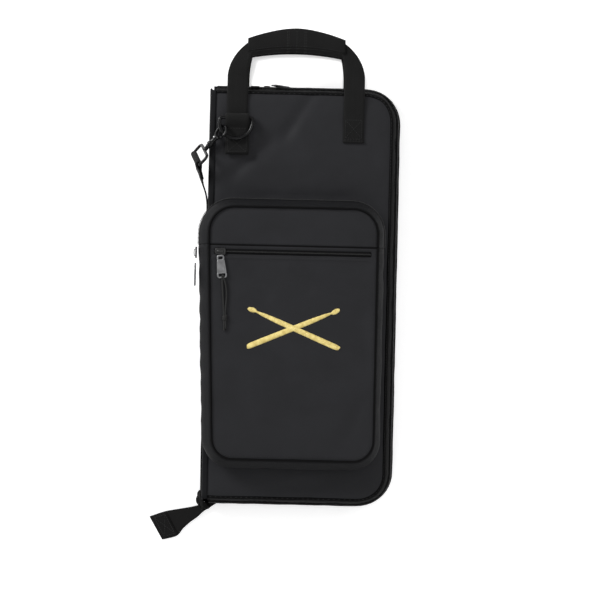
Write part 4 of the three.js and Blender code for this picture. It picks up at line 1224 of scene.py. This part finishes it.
def strap():
    bar = HOOK_CENTRE + HOOK_AXIS * EYE_FAR
    away = np.array([0.198, -0.843, -0.499])
    away = unit(away - EYE_BAR * np.dot(away, EYE_BAR))
    face = unit(np.cross(EYE_BAR, away))
    r = EYE_WIRE + 0.3 + WEB / 2
    path = [away * 20 + face * 0.95, away * 14 + face * 0.95, away * 8 + face * 1.1,
            away * 3.5 + face * (r - 0.5)]
    path += [away * (r * math.sin(a)) + face * (r * math.cos(a))
             for a in np.linspace(-0.1, -math.pi + 0.1, 9)]
    path += [away * 3.5 - face * (r - 0.5), away * 8 - face * 1.1, away * 14 - face * 0.95,
             away * 20 - face * 0.95]
    pairs = [(bar + p, EYE_BAR) for p in path]
    loop = band("strap_end_webbing", pairs, [1.0] * len(pairs), samples=70)
    dress(loop, "hook_eye", "webbing", "strap_end_loop")
    run_x = (RUN_LOW[0] + RUN_HIGH[0]) / 2 - 0.1
    mid_z = (RUN_LOW[2] + RUN_HIGH[2]) / 2
    top = bar + away * 19.5
    lead = (np.array([run_x - 2.2, 118, mid_z + 5]), unit(EYE_BAR * 0.35 + Z))
    pairs = [(top, EYE_BAR), (top + away * 9, unit(EYE_BAR * 0.8 + Z * 0.3)), lead,
             (np.array([run_x, 100, mid_z]), Z)]
    pairs += [(np.array([run_x - 0.25 * math.sin(y / 17.0) ** 2, y, mid_z]), Z)
              for y in np.linspace(80, -200, 15)]
    pairs += [(np.array([run_x, -222, mid_z - 1]), Z), (np.array([run_x, RUN_LOW[1], mid_z - 2]), Z)]
    dress(band("strap_along_spine", pairs, [1.0] * len(pairs), samples=140), "spine", "webbing", "strap_run")


strap()


def tail():
    """Slack end of the strap: it leaves the lower corner, twists flat and ends in a doubled, stitched hem."""
    run_x = (RUN_LOW[0] + RUN_HIGH[0]) / 2 - 0.1
    edges = [((-174, -264.6, 1.4), (-158, -292, 1.4)), ((-157, -258.5, 1.6), (-141, -287, 1.6)),
             ((-146, -256, 1.8), (-133.5, -278, 3.4)), ((-134, -253.8, 1.8), (-125, -270, 3.6)),
             ((-122, -251.4, 1.8), (-117, -264, 3.6)), ((-112.5, -248.2, 1.8), (-109.5, -257, 3.4)),
             ((-106.5, -243.4, 1.6), (-101, -251.4, 2.6)), ((-101.5, -239.5, 1.4), (-93, -246, 1.8))]
    rows = smooth_path([list(a) + list(b) for a, b in edges], 50)
    stations = [((r[:3] + r[3:]) / 2, (r[:3] - r[3:]) / STRAP, Z) for r in rows]
    dress(sweep("strap_tail_webbing", stations, band_section(STRAP, WEB, 10), "strap_webbing"), "rear_cover",
          "webbing", "strap_tail")
    hem = [(p + Z * (WEB + 0.05), a, u) for p, a, u in stations[1:9]]
    dress(sweep("strap_tail_hem", hem, band_section(STRAP - 0.6, WEB, 10), "strap_webbing"), "rear_cover",
          "webbing")
    seam = Heap()
    first, last = hem[0], hem[-1]
    corners = []
    for p, a, sign in ((first[0], first[1], 1), (last[0], last[1], 1), (last[0], last[1], -1),
                       (first[0], first[1], -1)):
        inward = (np.array(last[0]) - np.array(first[0])) * (0.12 if p is first[0] else -0.12)
        corners.append(p + inward + a * (sign * 12.5) + Z * (WEB / 2 + 0.05))
    for a, b in ((0, 1), (1, 2), (2, 3), (3, 0), (0, 2), (1, 3)):
        stitch_line(seam, [corners[a], corners[b]], Z, 2.6, 2.0, 0.7, 0.2)
    dress(seam.made("strap_tail_stitches", "thread_black"), "rear_cover", "binding")
    mid_z = (RUN_LOW[2] + RUN_HIGH[2]) / 2
    pairs = [(np.array([run_x, RUN_LOW[1] + 3, mid_z - 2]), Z), (np.array([run_x + 0.4, -240, mid_z - 5]), Z),
             (np.array([run_x + 1.8, -244.5, 14]), unit(Z + np.array([0.3, 0, 0]))),
             (np.array([run_x + 1.6, -247.6, 6.5]), unit(Z * 0.6 + np.array([0.6, 0.4, 0]))),
             (np.array([run_x - 0.5, -251.6, 2.7]), unit(np.array([0.1, 1.0, -0.2])))]
    obj = band("strap_corner_turn", pairs, [1.0, 0.92, 0.7, 0.45, 0.3], samples=40)
    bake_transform(obj)


def tri_glide():
    low, high = spans("strap_slide")
    x = (low[0] + high[0]) / 2 - 0.3
    wire = oval(3.2, 4.2, 12, 3)
    heap = Heap()
    r = 3.5
    y0, y1, z0, z1 = low[1] + 2, high[1] - 2, low[2] + 2, high[2] - 2
    loop = []
    for cy, cz, start in ((y1 - r, z1 - r, 0), (y0 + r, z1 - r, 90), (y0 + r, z0 + r, 180),
                          (y1 - r, z0 + r, 270)):
        for a in np.radians(np.linspace(start, start + 90, 7)):
            out = np.array([0, math.cos(a), math.sin(a)])
            loop.append((np.array([x, cy, cz]) + out * r, np.array([1.0, 0, 0]), out))
    heap.add(*sweep_data(loop, wire, True))
    mid = (y0 + y1) / 2
    bar = [(np.array([x - 0.5, mid, z]), np.array([1.0, 0, 0]), np.array([0, 1.0, 0]))
           for z in np.linspace(z0, z1, 8)]
    heap.add(*sweep_data(bar, oval(2.8, 3.6, 12, 3)))
    dress(heap.made("strap_tri_glide", "plastic"), "strap_slide", "black_plastic", "strap_slide")


tail()
tri_glide()

# ---- zip sliders, pull tabs and cord ------------------------------------------------------


def pull_tab(name, start, along, across, body, node):
    """Tapered plate with a wire-like eye at each end."""
    start, along, across = np.array(start), unit(along), unit(across)
    normal = np.cross(along, across)
    heap = Heap()

    def half(d):
        return 4.0 + (5.6 - 4.0) * min(1.0, d / 22.0)

    plate = []
    for d, w, t in ((4.6, 0.85, 0.5), (5.2, 0.95, 0.95), (9, 1.0, 1), (14, 1.0, 1), (19.4, 1.0, 1),
                    (20.2, 0.96, 0.9),
                    (20.8, 0.86, 0.5)):
        plate.append((start + along * d, across * (half(d) * w / 5), normal * t))
    heap.add(*sweep_data(plate, oval(10, 1.7, 20, 8)))
    raised = [(start + along * d, across * (half(d) * 0.62 / 5), normal) for d in (7.2, 7.8, 17.0, 17.6)]
    heap.add(*sweep_data(raised, oval(10, 2.1, 16, 6)))
    for d0, d1, inset in ((0.4, 5.4, 0.9), (20.0, 25.2, 0.9)):
        loop = []
        r = 1.8
        for cd, sign, begin in ((d1 - r, 1, 0), (d0 + r, 1, 90), (d0 + r, -1, 180), (d1 - r, -1, 270)):
            for a in np.radians(np.linspace(begin, begin + 90, 6)):
                out = along * math.cos(a) + across * math.sin(a)
                loop.append((start + along * cd + across * sign * (half(cd) - r - inset * 0.9) + out * r,
                             out, normal))
        heap.add(*sweep_data(loop, oval(1.9, 1.6, 10, 3), True))
    dress(heap.made(name, "grey_metal"), body, "grey_metal", node)


def slider(name, centre, along, up, length, width, height, body, node):
    centre, along, up = np.array(centre), unit(along), unit(up)
    across = np.cross(up, along)
    heap = Heap()
    half = length / 2
    shape = [(-half, 0.55), (-half * 0.85, 0.8), (-half * 0.3, 0.86), (half * 0.2, 1.0), (half * 0.8, 1.0),
             (half, 0.75)]
    stations = [(centre + along * d + up * height * 0.28, across * w, up * min(1, 0.6 + w / 2)) for d,
                w in shape]
    heap.add(*sweep_data(stations, oval(width, height * 0.55, 16, 4)))
    arch = [(-half * 0.62, 0.45), (-half * 0.5, 0.86), (0, 0.98), (half * 0.5, 0.86), (half * 0.62, 0.45)]
    line = smooth_path([centre + along * d + up * height * h for d, h in arch], 16)
    heap.add(*sweep_data(framed(line, up), oval(width * 0.3, height * 0.26, 10, 3)))
    dress(heap.made(name, "plastic"), body, "coil", node)


def sliders_and_pulls():
    for name, node, along, up, body in (
        ("slip_zip_slider", "slip_slider", (1, 0, 0), (0, 0, 1), "slip_slider"),
        ("pocket_zip_slider", "pocket_slider", (0, 1, 0), (-1, 0, 0), "pocket_slider"),
        ("main_zip_slider", "main_slider", (1, 0, 0), (0, 1, 0), "main_slider"),
    ):
        low, high = spans(node)
        up_v, along_v = np.array(up, float), np.array(along, float)
        size = high - low
        centre = (low + high) / 2 - up_v * float(np.dot(size, np.abs(up_v))) / 2
        width = float(np.dot(size, 1 - np.abs(up_v) - np.abs(along_v)))
        slider(name, centre, along, up, float(np.dot(size, np.abs(along_v))), width,
               float(np.dot(size, np.abs(up_v))),
               body, node)
    pull_tab("slip_pull_tab", (-92.8, 45.8, 91.6), (0.11, -1, 0), (1, 0.11, 0), "slip_pull", "slip_pull")
    pull_tab("pocket_pull_tab", (-122.4, 36.5, 70.0), (0, -1, 0), (0, 0, 1), "pocket_pull", "pocket_pull")
    pull_tab("main_pull_tab", (-37.6, 248.4, 29.0), (0.6, 0, -0.8), (0.8, 0, 0.6), "main_pull", "main_pull")
    low, high = spans("zip_end_tab")
    mid = (low + high) / 2
    stations = [(np.array([x, mid[1], mid[2]]), np.array([0, 1.0, 0]), Z)
                for x in np.linspace(low[0], high[0], 8)]
    dress(sweep("zip_end_webbing", stations, oval(3.5, 9, 12, 4), "webbing"), "rear_cover", "webbing",
          "zip_end_tab")


sliders_and_pulls()


def pull_cord():
    """Limp loop of cord on the slip pocket's tab: two strands and the knot that joins them."""
    points = smooth_path(CORD_ROUTE, 60)
    cord = bpy.data.curves.new("slip_pull_cord", "CURVE")
    cord.dimensions = "3D"
    cord.bevel_depth = CORD_DIAMETER / 2
    cord.bevel_resolution = 4
    cord.use_fill_caps = True
    spline = cord.splines.new("POLY")
    spline.points.add(len(points) - 1)
    for target, p in zip(spline.points, points):
        target.co = (*p, 1)
    cord.materials.append(MATERIALS["cord"])
    obj = bpy.data.objects.new("slip_pull_cord", cord)
    bpy.context.scene.collection.objects.link(obj)
    dress(obj, "slip_pull", "cord", "slip_cord")
    second = smooth_path([(-88.4, 19.4, 91.7), (-86.6, 15.0, 91.4), (-84.9, 6.0, 91.1), (-84.7, -4, 91.0),
                          (-85.4, -14, 91.0), (-85.6, -24, 91.0), (-84.8, -38, 91.0)], 50)
    strand = sweep("slip_pull_cord_second", framed(second, Z), oval(2.3, 2.3, 10, 2), "cord")
    dress(strand, "slip_pull", "cord")
    loop = smooth_path([(-90.0, 18.4, 91.6), (-90.2, 21.0, 92.0), (-89.4, 23.0, 92.2), (-88.2, 22.0, 92.1),
                        (-88.3, 19.6, 91.7)], 24)
    bight = sweep("slip_pull_cord_bight", framed(loop, Z), oval(2.1, 2.1, 10, 2), "cord")
    dress(bight, "slip_pull", "cord")
    knot = Heap()
    for k, y in enumerate((-27.6, -25.6, -23.6)):
        ring = []
        for a in np.linspace(0, 2 * math.pi, 17)[:-1]:
            out = np.array([math.cos(a), 0.28 * math.sin(a + k), math.sin(a)])
            ring.append((np.array([-86.2, y, 91.4]) + out * np.array([2.3, 2.3, 1.2]), unit(out),
                         np.array([0, 1.0, 0])))
        knot.add(*sweep_data(ring, oval(1.7, 2.1, 8, 2), True))
    tied = knot.made("slip_pull_cord_knot", "cord")
    dress(tied, "slip_pull", "cord")


pull_cord()


# ---- floor and light ----------------------------------------------------------------------
def studio():
    scene = bpy.context.scene
    scene.view_settings.view_transform = "Standard"
    mesh = bpy.data.meshes.new("floor")
    mesh.from_pydata([(-6, -6, -0.001), (6, -6, -0.001), (6, 6, -0.001), (-6, 6, -0.001)], [], [(0, 1, 2, 3)])
    n = Nodes("floor")
    place = n.node("ShaderNodeTexCoord").outputs["Object"]
    speck = n.noise(place, 30, 2)
    n.finish(n.ramp(speck, [(0.0, (0.93, 0.93, 0.93)), (1.0, (0.96, 0.96, 0.96))]), 0.9,
             Emission_Color=(1, 1, 1, 1),
             Emission_Strength=0.42)
    mesh.materials.append(n.material)
    floor = bpy.data.objects.new("floor", mesh)
    scene.collection.objects.link(floor)
    world = bpy.data.worlds.new("world")
    scene.world = world
    world.use_nodes = True
    world.node_tree.nodes["Background"].inputs[0].default_value = (1, 1, 1, 1)
    world.node_tree.nodes["Background"].inputs[1].default_value = 0.5
    for name, where, size, power in (
        ("key", (-1.9, 1.5, 1.25), 0.9, 64),
        ("fill", (1.5, 0.5, 2.2), 1.6, 14),
        ("low", (0.2, -1.9, 1.8), 1.6, 12),
    ):
        data = bpy.data.lights.new(name, "AREA")
        data.size = size
        data.energy = power
        lamp = bpy.data.objects.new(name, data)
        lamp.location = where
        lamp.rotation_euler = (Vector((0, 0, 0)) - Vector(where)).to_track_quat("-Z", "Y").to_euler()
        scene.collection.objects.link(lamp)


studio()
